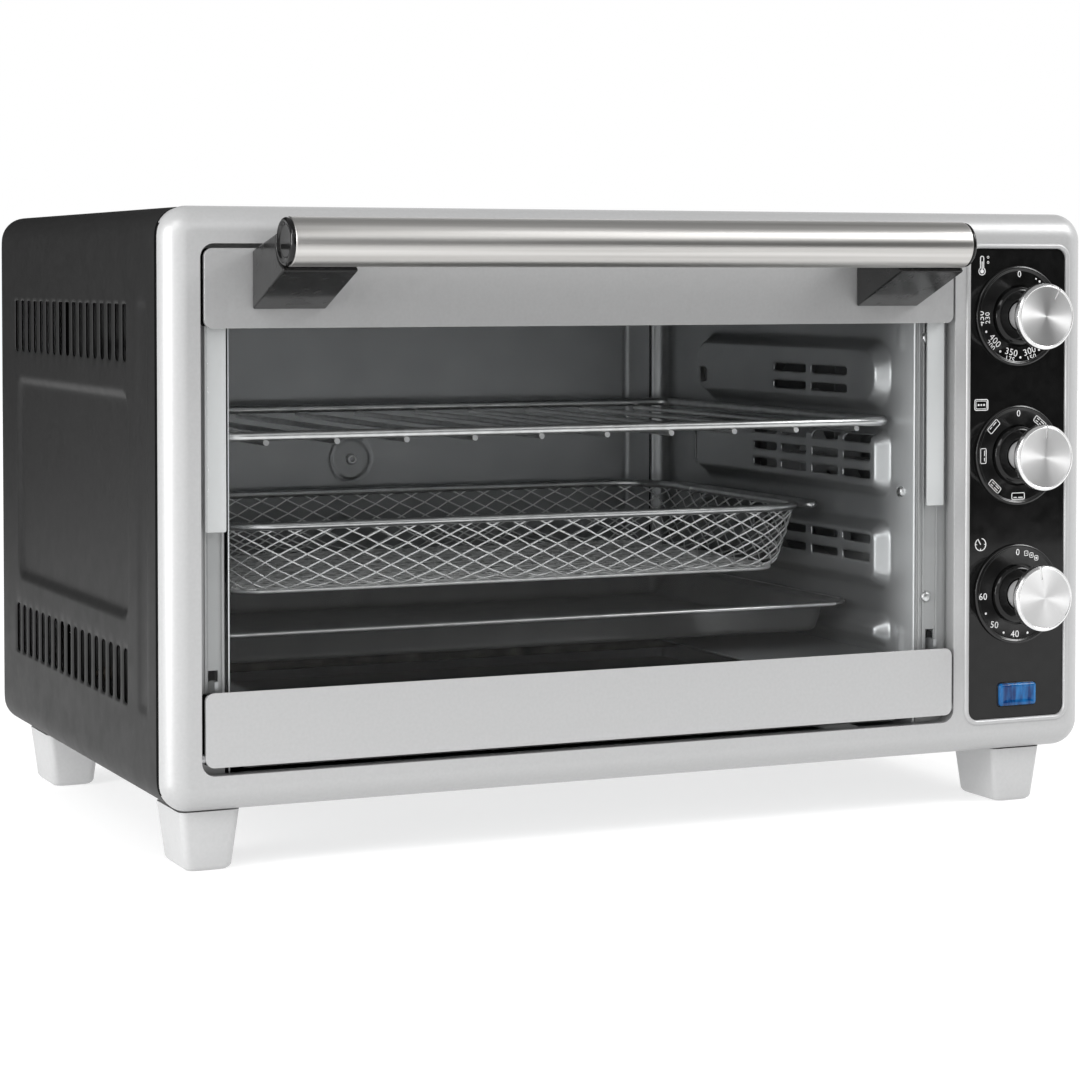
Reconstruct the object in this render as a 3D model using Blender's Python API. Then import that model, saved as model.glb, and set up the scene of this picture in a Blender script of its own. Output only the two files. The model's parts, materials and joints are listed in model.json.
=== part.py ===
"""Countertop toaster oven: every piece is its own closed solid, in metres, +Z up, front facing -Y."""

import math

import bmesh
import bpy

MM = 0.001

# Overall envelope, millimetres. X is measured from the middle of the oven, positive to the right.
# Y is measured back from the bezel's front plane and Z up from the table, then shifted by Y_SHIFT.
WIDTH = 456.0
FOOT_H = 26.0
BODY_H = 254.3
BODY_BACK = 286.0
GLAND_BACK = 290.0
HANDLE_R = 10.25
HANDLE_Y = -42.0
Y_SHIFT = -(GLAND_BACK + HANDLE_Y - HANDLE_R) / 2

Z0 = FOOT_H
HALF_W = WIDTH / 2
SHEET = 0.7
CAV_SHEET = 0.6
TRAY_SHEET = 0.6
GAP = 0.3

# Casing and bezel
CASE_INSET = 0.8
CASE_R = 12.0
BEZEL_D = 12.0
BEZEL_R = 11.0
BEZEL_WALL = 2.4
OPEN_X = (-211.8, 154.6)
OPEN_Z = (Z0 + 15.7, Z0 + 238.4)
PANEL_X = (163.0, 215.6)
PANEL_Z = (Z0 + 15.9, Z0 + 237.6)
PANEL_Y = (0.6, 3.0)

# Side vents and panel emboss
VENT_Y = (62.0, 254.0)
VENT_COUNT = 17
VENT_W = 3.6
VENT_ROWS = ((Z0 + 39.6, Z0 + 63.2), (Z0 + 187.9, Z0 + 212.8))
EMBOSS_Y = (58.0, 252.0)
EMBOSS_Z = (Z0 + 77.5, Z0 + 174.0)
EMBOSS_DEPTH = 0.9
EMBOSS_BEVEL = 1.5
GROOVE_Y = (19.0, 27.0)
GROOVE_Z = (Z0 + 20.0, Z0 + 228.0)
GROOVE_DEPTH = 0.35

# Door
DOOR_X = (-210.3, 152.9)
DOOR_Y = (-1.0, 6.5)
TOP_RAIL_Z = (Z0 + 203.0, Z0 + 236.4)
LOW_RAIL_Z = (Z0 + 19.4, Z0 + 50.8)
RAIL_WALL = 1.2
GLASS_Y = (0.6, 3.8)
GLASS_Z = (Z0 + 44.0, Z0 + 209.0)
STRIP_W = 9.2
STRIP_END_Z = Z0 + 117.5
HINGE_Y = 3.0
HINGE_Z = Z0 + 23.0
HINGE = (0.0, HINGE_Y, HINGE_Z)
PIN_R = 2.0
PIN_CLEAR = 0.08
ARM_R = (27.5, 32.5)
ARM_X = 5.4
ARM_T = 1.5
HANDLE_Z = Z0 + 238.7
HANDLE_X = (-190.0, 133.5)
BRACKET_W = 32.5
BRACKET_INSET = 0.4
CAP_T = 2.2

# Knobs and lamp
KNOB_X = 189.5
KNOB_Z = (Z0 + 206.0, Z0 + 140.3, Z0 + 74.6)
KNOB_NAMES = ("temperature", "mode", "timer")
KNOB_TURN = (30.0, 3.0, -10.0)
DIAL_R = 23.6
SKIRT_R = 14.0
NECK_R = 5.8
CAP_R = 15.35
KNOB_FACE_Y = -23.5
LENS_X = (179.5, 199.9)
LENS_Z = (Z0 + 21.7, Z0 + 32.3)

# Cavity
CAV_X = (-196.4, 139.0)
CAV_BACK = 274.0
CAV_FLOOR = Z0 + 45.0
CAV_TOP = Z0 + 232.0
CAV_LOW = Z0 + 6.0
FRAME_Y = (9.0, 10.0)
FRAME_HOLE_X = (-199.1, 139.2)
PAD_RISE = 7.0
PAD_Y = (31.0, 36.0, 219.0, 227.0)
PAD_Z = ((Z0 + 162.0, Z0 + 193.0), (Z0 + 121.5, Z0 + 150.5), (Z0 + 77.5, Z0 + 106.5), (Z0 + 50.0, Z0 + 61.0))
PAD_SLOPE = 2.6
SLOT_H = 3.7
SLOT_COLUMNS = ((39.6, 65.0), (70.4, 95.6), (101.6, 127.0), (132.0, 156.0))
SLOT_ROWS = (Z0 + 147.0, Z0 + 138.5, Z0 + 130.0, Z0 + 99.2, Z0 + 90.3)
TOP_SLOTS = ((62.0, 96.6), (102.4, 135.0))
TOP_SLOT_ROWS = (Z0 + 179.0, Z0 + 170.4)
WELL_X = (-178.0, 65.0)
WELL_Y = (22.0, 250.0)
ELEMENT_R = 3.3
ELEMENTS = (("upper_front", 72.0, Z0 + 219.0), ("upper_rear", 205.0, Z0 + 219.0),
            ("lower_front", 78.0, Z0 + 34.0), ("lower_rear", 195.0, Z0 + 34.0))

# Rack, basket, pan and crumb tray
TRAY_X = (-194.0, 136.2)
RACK_Y = (28.0, 262.0)
RACK_Z = Z0 + 156.3
RACK_RAIL_R = 2.1
RACK_WIRE_R = 1.3
RACK_WIRES = 10
RACK_PITCH = 32.4
BASKET_Y = (82.0, 266.0)
BASKET_X = (-178.0, 126.0)
BASKET_Z = (Z0 + 80.5, Z0 + 112.0)
BASKET_WIRE_R = 1.9
PAN_Y = (55.0, 263.0)
PAN_Z = (Z0 + 52.5, Z0 + 67.5)
CRUMB_Y = (13.5, 262.0)
CRUMB_Z = (Z0 + 16.1, Z0 + 24.1)

# Convection fan
FAN_Y = 98.0
FAN_Z = Z0 + 135.0
FAN_R = 46.0
FAN_X = (146.0, 156.0)
SHROUD_R = 60.0
MOTOR_X = (168.0, 192.0)

FOOT_TOP = (13.5, 18.5)
FOOT_LOW = (10.3, 16.5)
FEET = (("front_left", -205.6, 27.0), ("front_right", 195.4, 27.0),
        ("rear_left", -205.0, 249.0), ("rear_right", 195.4, 249.0))

MATERIALS = {
    "satin_silver": ((0.66, 0.67, 0.68), 0.38, 0.75),
    "silver_plastic": ((0.66, 0.67, 0.68), 0.4, 0.6),
    "charcoal_paint": ((0.045, 0.045, 0.047), 0.5, 0.2),
    "black_gloss": ((0.008, 0.008, 0.009), 0.08, 0.0),
    "black_plastic": ((0.02, 0.02, 0.021), 0.45, 0.0),
    "brushed_steel": ((0.6, 0.57, 0.54), 0.28, 1.0),
    "chrome": ((0.82, 0.83, 0.84), 0.1, 1.0),
    "spun_aluminium": ((0.78, 0.78, 0.79), 0.25, 1.0),
    "galvanised_steel": ((0.42, 0.43, 0.44), 0.35, 1.0),
    "dark_pan": ((0.12, 0.12, 0.125), 0.35, 0.9),
    "door_glass": ((0.9, 0.93, 0.93), 0.02, 0.0),
    "blue_lens": ((0.02, 0.16, 0.6), 0.12, 0.0),
    "heater_sheath": ((0.16, 0.14, 0.13), 0.5, 0.9),
    "brass": ((0.6, 0.45, 0.2), 0.35, 1.0),
    "cream_plastic": ((0.8, 0.79, 0.76), 0.5, 0.0),
}


def clear_scene():
    for obj in list(bpy.data.objects):
        bpy.data.objects.remove(obj)


def material(name):
    found = bpy.data.materials.get(name)
    if found:
        return found
    colour, roughness, metallic = MATERIALS[name]
    made = bpy.data.materials.new(name)
    made.use_nodes = True
    shader = made.node_tree.nodes["Principled BSDF"]
    shader.inputs["Base Color"].default_value = (*colour, 1.0)
    shader.inputs["Roughness"].default_value = roughness
    shader.inputs["Metallic"].default_value = metallic
    return made


def make(name, bm, slot, origin=(0.0, 0.0, 0.0)):
    """An object from a bmesh in oven millimetres, with its origin at the given oven point."""
    bmesh.ops.recalc_face_normals(bm, faces=bm.faces)
    ox, oy, oz = origin
    for vert in bm.verts:
        x, y, z = vert.co
        vert.co = ((x - ox) * MM, (y - oy) * MM, (z - oz) * MM)
    mesh = bpy.data.meshes.new(name)
    bm.to_mesh(mesh)
    bm.free()
    obj = bpy.data.objects.new(name, mesh)
    bpy.context.scene.collection.objects.link(obj)
    obj.location = (ox * MM, (oy + Y_SHIFT) * MM, oz * MM)
    if slot:
        mesh.materials.append(material(slot))
    return obj


def smooth(obj, degrees=40.0):
    obj.data.shade_smooth()
    obj.data.set_sharp_from_angle(angle=math.radians(degrees))
    return obj


def boolean(obj, name, bm, operation="DIFFERENCE", origin=(0.0, 0.0, 0.0)):
    """Adds an exact Boolean against a hidden helper made from the bmesh."""
    helper = make(name, bm, None, origin)
    helper.hide_render = True
    helper.display_type = "WIRE"
    step = obj.modifiers.new(name, "BOOLEAN")
    step.operation = operation
    step.solver = "EXACT"
    step.object = helper
    return obj


def rounded(a, b, r, steps=4):
    """Corner points of the rectangle a = (low, high) by b = (low, high), its corners rounded by r."""
    points = []
    for cx, cy, start in ((a[1] - r, b[1] - r, 0), (a[0] + r, b[1] - r, 90),
                          (a[0] + r, b[0] + r, 180), (a[1] - r, b[0] + r, 270)):
        for k in range(steps + 1):
            angle = math.radians(start + 90.0 * k / steps)
            points.append((cx + r * math.cos(angle), cy + r * math.sin(angle)))
    return points


def place(axis, point, along):
    """A 2-D point set at a distance along an axis: x takes (y, z), y takes (x, z), z takes (x, y)."""
    if axis == "x":
        return (along, point[0], point[1])
    if axis == "y":
        return (point[0], along, point[1])
    return (point[0], point[1], along)


def loft(bm, loops):
    """A closed skin over loops with equal counts, with a face over the first and the last."""
    rings = [[bm.verts.new(p) for p in loop] for loop in loops]
    for low, high in zip(rings, rings[1:]):
        for k in range(len(low)):
            n = (k + 1) % len(low)
            bm.faces.new((low[k], low[n], high[n], high[k]))
    bm.faces.new(rings[0][::-1])
    bm.faces.new(rings[-1])
    return bm


def prism(bm, axis, outline, low, high):
    return loft(bm, [[place(axis, p, low) for p in outline], [place(axis, p, high) for p in outline]])


def box(bm, x, y, z):
    return prism(bm, "z", [(x[0], y[0]), (x[1], y[0]), (x[1], y[1]), (x[0], y[1])], z[0], z[1])


def lathe(bm, axis, centre, profile, steps=24, turn=0.0):
    """A closed turned shape: profile is (distance along axis, radius), from axis to axis or from ring to ring."""
    rings = []
    for along, radius in profile:
        loop = []
        for k in range(steps):
            angle = math.radians(turn) + 2 * math.pi * k / steps
            point = (centre[0] + radius * math.cos(angle), centre[1] + radius * math.sin(angle))
            loop.append(place(axis, point, along))
        rings.append(loop)
    return loft(bm, rings)


def hollow(bm, axis, centre, profile, steps=24):
    """A turned ring: profile is a closed line of (distance along axis, radius)."""
    rings = []
    for along, radius in profile:
        loop = []
        for k in range(steps):
            angle = 2 * math.pi * k / steps
            point = (centre[0] + radius * math.cos(angle), centre[1] + radius * math.sin(angle))
            loop.append(bm.verts.new(place(axis, point, along)))
        rings.append(loop)
    for low, high in zip(rings, rings[1:] + rings[:1]):
        for k in range(steps):
            n = (k + 1) % steps
            bm.faces.new((low[k], low[n], high[n], high[k]))
    return bm


def wire(bm, points, radius, closed=False, steps=8):
    """A round wire along 3-D points that stay near one level, closed into a loop or capped."""
    count = len(points)
    rings = []
    for k, point in enumerate(points):
        before = points[k - 1] if closed or k else points[k]
        after = points[(k + 1) % count] if closed or k + 1 < count else points[k]
        dx, dy, dz = (after[i] - before[i] for i in range(3))
        flat = math.hypot(dx, dy)
        length = math.sqrt(dx * dx + dy * dy + dz * dz)
        side = (-dy / flat, dx / flat, 0.0)
        up = (-dx * dz / flat / length, -dy * dz / flat / length, flat / length)
        ring = []
        for s in range(steps):
            angle = 2 * math.pi * (s + 0.5) / steps
            c, d = radius * math.cos(angle), radius * math.sin(angle)
            ring.append(bm.verts.new([point[i] + c * side[i] + d * up[i] for i in range(3)]))
        rings.append(ring)
    pairs = list(zip(rings, rings[1:]))
    if closed:
        pairs.append((rings[-1], rings[0]))
    for low, high in pairs:
        for s in range(steps):
            n = (s + 1) % steps
            bm.faces.new((low[s], low[n], high[n], high[s]))
    if not closed:
        bm.faces.new(rings[0][::-1])
        bm.faces.new(rings[-1])
    return bm


def side_recesses(bm, x, shallow, deep, wider):
    """A shallow pressed field in each side, between two depths from the face, its edges bevelled inwards."""
    for side in (-1, 1):
        loops = []
        for depth in (shallow, deep):
            inset = EMBOSS_BEVEL * (depth - wider) / EMBOSS_DEPTH - wider
            outline = rounded((EMBOSS_Y[0] + inset, EMBOSS_Y[1] - inset),
                              (EMBOSS_Z[0] + inset, EMBOSS_Z[1] - inset), 8.0 - inset, 3)
            loops.append([(side * (x - depth), y, z) for y, z in outline])
        loft(bm, loops)


def outer_casing():
    """A wrap of painted sheet: top, both sides and a short return under each side."""
    x, low, high = HALF_W - CASE_INSET, Z0 + GAP, Z0 + BODY_H - GAP
    outer = rounded((-x, x), (low, high), CASE_R, 4)
    inner = rounded((-x + SHEET, x - SHEET), (low + SHEET, high - SHEET), CASE_R - SHEET, 4)
    turn = 20.0
    right_end = [(x - turn, low), (x - turn, low + SHEET)]
    left_end = [(-x + turn, low + SHEET), (-x + turn, low)]
    outline = outer[15:] + outer[:15] + left_end[::-1][:1]
    outline = [right_end[0]] + outline
    back = inner[15:] + inner[:15]
    outline = outline + [left_end[0]] + back[::-1] + [right_end[1]]
    obj = make("outer_casing", prism(bmesh.new(), "y", outline, BEZEL_D + GAP, BODY_BACK), "charcoal_paint")
    backs = bmesh.new()
    side_recesses(backs, x, SHEET / 2, SHEET + EMBOSS_DEPTH, SHEET)
    boolean(obj, "recess_backs", backs, "UNION")
    pockets = bmesh.new()
    side_recesses(pockets, x, -EMBOSS_DEPTH, EMBOSS_DEPTH, 0.0)
    boolean(obj, "recess_pockets", pockets)
    grooves = bmesh.new()
    for side in (-1, 1):
        loops = []
        for depth, inset in ((-1.0, -1.0), (GROOVE_DEPTH, 2.0)):
            outline = rounded((GROOVE_Y[0] + inset, GROOVE_Y[1] - inset),
                              (GROOVE_Z[0] + inset, GROOVE_Z[1] - inset), 3.0 - inset / 2, 3)
            loops.append([(side * (x - depth), y, z) for y, z in outline])
        loft(grooves, loops)
    boolean(obj, "side_grooves", grooves)
    slots = bmesh.new()
    pitch = (VENT_Y[1] - VENT_Y[0]) / (VENT_COUNT - 1)
    for low_z, high_z in VENT_ROWS:
        for k in range(VENT_COUNT):
            middle = VENT_Y[0] + k * pitch
            outline = rounded((middle - VENT_W / 2, middle + VENT_W / 2), (low_z, high_z), VENT_W / 2 - 0.3, 1)
            for side in (-1, 1):
                prism(slots, "x", outline, side * (HALF_W - 6.0), side * (HALF_W + 4.0))
    boolean(obj, "casing_vents", slots)
    return smooth(obj, 30)


def rear_cover():
    x = HALF_W - CASE_INSET - SHEET - 0.4
    outline = rounded((-x, x), (Z0 + 2.0, Z0 + BODY_H - 1.8), 10.0, 3)
    obj = make("rear_cover", prism(bmesh.new(), "y", outline, 283.0, 283.0 + SHEET), "galvanised_steel")
    holes = bmesh.new()
    for centre in (-120.0, 0.0, 120.0):
        for row in range(5):
            middle = Z0 + 190.0 + row * 9.0
            slot = rounded((centre - 35.0, centre + 35.0), (middle - 1.6, middle + 1.6), 1.3, 1)
            prism(holes, "y", slot, 280.0, 288.0)
    lathe(holes, "y", (170.0, Z0 + 34.0), [(280.0, 7.2), (288.0, 7.2)], 16)
    return smooth(boolean(obj, "rear_openings", holes), 30)


def base_plate():
    obj = make("base_plate", box(bmesh.new(), (-206.5, 206.5), (13.0, 282.5), (Z0 + 1.6, Z0 + 1.6 + SHEET)),
               "galvanised_steel")
    slots = bmesh.new()
    for k in range(8):
        middle = 70.0 + 20.0 * k
        prism(slots, "z", rounded((150.0, 198.0), (middle - 1.8, middle + 1.8), 1.4, 1), Z0 - 2.0, Z0 + 6.0)
    return boolean(obj, "base_vents", slots)


def feet():
    for name, x, y in FEET:
        bm = bmesh.new()
        loops = []
        for inset, height in ((0.8, 0.0), (0.0, 0.8), (0.0, FOOT_H - GAP)):
            share = height / FOOT_H
            half_x = FOOT_LOW[0] + (FOOT_TOP[0] - FOOT_LOW[0]) * share - inset
            half_y = FOOT_LOW[1] + (FOOT_TOP[1] - FOOT_LOW[1]) * share - inset
            outline = rounded((x - half_x, x + half_x), (y - half_y, y + half_y), 3.0, 3)
            loops.append([(p[0], p[1], height) for p in outline])
        smooth(make("foot_" + name, loft(bm, loops), "silver_plastic"), 35)


def front_bezel():
    """One moulding round the door and the control panel, hollow behind its front skin."""
    steps = 5
    loops = []
    for k in range(steps + 1):
        angle = math.radians(90.0 * k / steps)
        inset = BEZEL_R * (1 - math.sin(angle))
        outline = rounded((-HALF_W + inset, HALF_W - inset), (Z0 + inset, Z0 + BODY_H - inset), 13.0 - inset, 4)
        loops.append([(x, BEZEL_R * (1 - math.cos(angle)), z) for x, z in outline])
    loops.append([(x, BEZEL_D, z) for x, y, z in loops[-1]])
    obj = make("front_bezel", loft(bmesh.new(), loops), "silver_plastic")
    cuts = bmesh.new()
    prism(cuts, "y", rounded(OPEN_X, OPEN_Z, 5.0, 3), -5.0, 20.0)
    prism(cuts, "y", rounded((PANEL_X[0] - GAP, PANEL_X[1] + GAP), (PANEL_Z[0] - GAP, PANEL_Z[1] + GAP), 5.0, 3),
          -5.0, 20.0)
    boolean(obj, "bezel_openings", cuts)
    hollow_back = bmesh.new()
    edge = HALF_W - BEZEL_WALL
    low, high = Z0 + BEZEL_WALL, Z0 + BODY_H - BEZEL_WALL
    prism(hollow_back, "y", rounded((-edge, edge), (low, high), 9.0, 3), 8.2, 20.0)
    boolean(obj, "bezel_rebate", hollow_back)
    pockets = bmesh.new()
    box(pockets, (-edge + 4.0, OPEN_X[0] - BEZEL_WALL), (4.5, 20.0), (Z0 + 12.0, Z0 + BODY_H - 12.0))
    box(pockets, (-190.0, 190.0), (4.5, 20.0), (low + 3.0, OPEN_Z[0] - BEZEL_WALL))
    box(pockets, (-190.0, 190.0), (4.5, 20.0), (OPEN_Z[1] + BEZEL_WALL, high - 3.0))
    boolean(obj, "bezel_pockets", pockets)
    bores = bmesh.new()
    for x in (OPEN_X[0] - 4.0, OPEN_X[1] - 1.0):
        lathe(bores, "x", (HINGE_Y, HINGE_Z), [(x, PIN_R + PIN_CLEAR), (x + 5.0, PIN_R + PIN_CLEAR)], 16)
    boolean(obj, "bezel_bores", bores)
    return smooth(obj, 30)


def control_panel():
    obj = make("control_panel", prism(bmesh.new(), "y", rounded(PANEL_X, PANEL_Z, 4.7, 4), *PANEL_Y), "black_gloss")
    holes = bmesh.new()
    for z in KNOB_Z:
        lathe(holes, "y", (KNOB_X, z), [(-5.0, 4.5), (8.0, 4.5)], 16)
    prism(holes, "y", rounded((LENS_X[0] - GAP, LENS_X[1] + GAP), (LENS_Z[0] - GAP, LENS_Z[1] + GAP), 1.6, 2),
          -5.0, 8.0)
    return smooth(boolean(obj, "panel_holes", holes), 30)


def dials_and_knobs():
    """For each control: a fixed dial ring, then the skirt, cap and spindle that turn together."""
    for name, z, turn in zip(KNOB_NAMES, KNOB_Z, KNOB_TURN):
        axis = (KNOB_X, KNOB_FACE_Y, z)
        centre = (KNOB_X, z)
        ring = hollow(bmesh.new(), "y", centre, [(0.3, SKIRT_R + 0.6), (0.3, DIAL_R), (-0.6, DIAL_R),
                                                 (-1.1, DIAL_R - 0.6), (-0.4, DIAL_R - 1.6),
                                                 (-0.4, SKIRT_R + 0.6)], 32)
        smooth(make(name + "_dial_ring", ring, "black_plastic", axis))
        skirt = lathe(bmesh.new(), "y", centre, [(0.0, SKIRT_R - 0.4), (-8.2, SKIRT_R - 0.4), (-9.2, SKIRT_R - 1.4),
                                                 (-9.2, NECK_R - 0.8)], 28)
        knob = smooth(make(name + "_knob_skirt", skirt, "black_gloss", axis))
        bore = lathe(bmesh.new(), "y", centre, [(-12.0, 3.4), (4.0, 3.4)], 12)
        boolean(knob, name + "_skirt_bore", bore, origin=axis)
        face = KNOB_FACE_Y
        cap = lathe(bmesh.new(), "y", centre, [(-9.5, NECK_R), (-12.5, NECK_R - 0.6), (face + 6.5, NECK_R),
                                               (face + 5.0, CAP_R - 2.0), (face + 3.6, CAP_R),
                                               (face + 0.5, CAP_R), (face, CAP_R - 0.5)], 28)
        top = smooth(make(name + "_knob_cap", cap, "spun_aluminium", axis))
        angle = math.radians(turn)
        cut = bmesh.new()
        mark = ((-0.45, CAP_R - 6.5), (0.45, CAP_R - 6.5), (0.45, CAP_R + 1.5), (-0.45, CAP_R + 1.5))
        outline = [(KNOB_X + a * math.cos(angle) + b * math.sin(angle),
                    z - a * math.sin(angle) + b * math.cos(angle)) for a, b in mark]
        prism(cut, "y", outline, face - 2.0, face + 0.8)
        lathe(cut, "y", centre, [(-14.5, 3.4), (-4.0, 3.4)], 12)
        boolean(top, name + "_cap_cuts", cut, origin=axis)
        spindle = lathe(bmesh.new(), "y", centre, [(-14.0, 3.0), (12.5, 3.0)], 12)
        smooth(make(name + "_spindle", spindle, "brass", axis))


def indicator():
    outline = rounded(LENS_X, LENS_Z, 1.4, 3)
    inset = rounded((LENS_X[0] + 0.8, LENS_X[1] - 0.8), (LENS_Z[0] + 0.8, LENS_Z[1] - 0.8), 0.8, 3)
    loops = [[(x, 2.8, z) for x, z in outline], [(x, -0.6, z) for x, z in outline],
             [(x, -1.4, z) for x, z in inset]]
    smooth(make("indicator_lens", loft(bmesh.new(), loops), "blue_lens"), 35)
    middle = ((LENS_X[0] + LENS_X[1]) / 2, (LENS_Z[0] + LENS_Z[1]) / 2)
    make("indicator_lamp", box(bmesh.new(), (middle[0] - 7, middle[0] + 7), (3.4, 8.6), (middle[1] - 4, middle[1] + 4)),
         "black_plastic")


def control_parts():
    """The carrier sheet behind the panel and the three switches that the spindles turn."""
    outline = rounded((PANEL_X[0] - 3.0, HALF_W - 4.5), (Z0 + 8.0, Z0 + BODY_H - 8.0), 3.0, 2)
    plate = make("control_carrier", prism(bmesh.new(), "y", outline, *FRAME_Y), "galvanised_steel")
    holes = bmesh.new()
    for z in KNOB_Z:
        lathe(holes, "y", (KNOB_X, z), [(5.0, 4.2), (14.0, 4.2)], 12)
    boolean(plate, "carrier_holes", holes)
    bodies = (("thermostat", 15.0, 13.0, 24.0, "cream_plastic"), ("mode_switch", 17.0, 19.0, 30.0, "black_plastic"),
              ("timer_movement", 22.0, 22.0, 32.0, "galvanised_steel"))
    for (name, half_x, half_z, depth, slot), z in zip(bodies, KNOB_Z):
        outline = rounded((KNOB_X - half_x, KNOB_X + half_x), (z - half_z, z + half_z), 3.0, 2)
        smooth(make(name, prism(bmesh.new(), "y", outline, 12.8, 12.8 + depth), slot), 30)


def rail(name, z, lip_low, lip_high):
    """A folded door rail: front skin, end walls and folded lips, open at the back."""
    outline = rounded(DOOR_X, z, 3.0, 3)
    loops = [[(x, DOOR_Y[1], q) for x, q in outline], [(x, DOOR_Y[0] + 0.8, q) for x, q in outline]]
    inset = rounded((DOOR_X[0] + 0.8, DOOR_X[1] - 0.8), (z[0] + 0.8, z[1] - 0.8), 2.2, 3)
    loops.append([(x, DOOR_Y[0], q) for x, q in inset])
    obj = make(name, loft(bmesh.new(), loops), "satin_silver", HINGE)
    inner = bmesh.new()
    box(inner, (DOOR_X[0] + RAIL_WALL, DOOR_X[1] - RAIL_WALL), (DOOR_Y[0] + RAIL_WALL, 12.0),
        (z[0] + lip_low, z[1] - lip_high))
    return boolean(obj, name + "_fold", inner)


def door():
    top = rail("door_top_rail", TOP_RAIL_Z, -2.0, RAIL_WALL)
    smooth(top, 30)
    low = rail("door_bottom_rail", LOW_RAIL_Z, RAIL_WALL, -2.0)
    holes = bmesh.new()
    for x in (DOOR_X[0] - 2.0, DOOR_X[1] - 2.5):
        lathe(holes, "x", (HINGE_Y, HINGE_Z), [(x, PIN_R + GAP), (x + 4.5, PIN_R + GAP)], 16)
    smooth(boolean(low, "rail_bores", holes), 30)
    edge = 1.6
    make("door_glass", box(bmesh.new(), (DOOR_X[0] + edge, DOOR_X[1] - edge), GLASS_Y, GLASS_Z), "door_glass",
         HINGE)
    for name, low_x in (("left", DOOR_X[0] + edge), ("right", DOOR_X[1] - edge - STRIP_W)):
        make("glass_strip_" + name, box(bmesh.new(), (low_x, low_x + STRIP_W), (4.2, 5.2),
                                        (STRIP_END_Z, TOP_RAIL_Z[1] - 3.0)), "satin_silver", HINGE)


def hinge_arms():
    """A plate with a curved stop arm that runs through a slot in the cavity frame, and its pivot pin."""
    arc = []
    for radius, angles in ((ARM_R[1], range(78, -7, -12)), (ARM_R[0], range(-6, 79, 12))):
        for degrees in angles:
            angle = math.radians(degrees)
            arc.append((HINGE_Y + radius * math.cos(angle), HINGE_Z + radius * math.sin(angle)))
    leg = [(6.2, HINGE_Z + 24.0), (6.2, HINGE_Z - 2.4), (0.9, HINGE_Z - 2.4), (0.9, HINGE_Z + 6.0),
           (4.3, HINGE_Z + 19.0), (4.3, arc[0][1])]
    for name, side, wall in (("left", 1, DOOR_X[0]), ("right", -1, DOOR_X[1])):
        near = wall + side * ARM_X
        far = near + side * ARM_T
        bm = prism(bmesh.new(), "x", arc + leg, near, far)
        obj = make("hinge_arm_" + name, bm, "galvanised_steel", (near, HINGE_Y, HINGE_Z))
        pin = lathe(bmesh.new(), "x", (HINGE_Y, HINGE_Z),
                    [(wall - side * 4.6, PIN_R - 0.4), (wall - side * 4.2, PIN_R), (near + side * 0.6, PIN_R)], 16)
        boolean(obj, "hinge_pin_" + name, pin, "UNION", (near, HINGE_Y, HINGE_Z))
        smooth(obj, 35)


def handle():
    low, high = HANDLE_X
    tube = hollow(bmesh.new(), "x", (HANDLE_Y, HANDLE_Z),
                  [(low + CAP_T, HANDLE_R), (high - CAP_T, HANDLE_R), (high - CAP_T, HANDLE_R - 1.0),
                   (low + CAP_T, HANDLE_R - 1.0)], 28)
    smooth(make("handle_tube", tube, "brushed_steel", HINGE))
    for name, at, side in (("left", low, 1), ("right", high, -1)):
        cap = lathe(bmesh.new(), "x", (HANDLE_Y, HANDLE_Z),
                    [(at, HANDLE_R - 1.4), (at + side * 0.7, HANDLE_R - 0.3), (at + side * (CAP_T - GAP), HANDLE_R - 0.3),
                     (at + side * (CAP_T - GAP), HANDLE_R - 1.5), (at + side * 8.0, HANDLE_R - 1.5)], 24)
        smooth(make("handle_end_cap_" + name, cap, "black_gloss", HINGE))
        near = at + side * BRACKET_INSET
        reach = HANDLE_R + GAP
        saddle = []
        for degrees in range(-80, 21, 20):
            angle = math.radians(degrees)
            saddle.append((HANDLE_Y + reach * math.cos(angle), HANDLE_Z + reach * math.sin(angle)))
        outline = [(DOOR_Y[0] - GAP, Z0 + 210.8)] + [(DOOR_Y[0] - GAP, Z0 + 235.5)] + saddle[::-1]
        outline.append((HANDLE_Y + 1.2, HANDLE_Z - reach - 1.4))
        body = prism(bmesh.new(), "x", outline, near, near + side * BRACKET_W)
        make("handle_bracket_" + name, body, "black_gloss", HINGE)


def wall_rows():
    """Heights and pad shares of a side wall, from its foot up: 0 is the plain wall and 1 a raised pad."""
    rows = [(CAV_LOW, 0.0)]
    for low, high in sorted(PAD_Z):
        rows += [(low - PAD_SLOPE, 0.0), (low, 1.0), (high, 1.0), (high + PAD_SLOPE, 0.0)]
    return rows + [(CAV_TOP - GAP, 0.0)]


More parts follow.
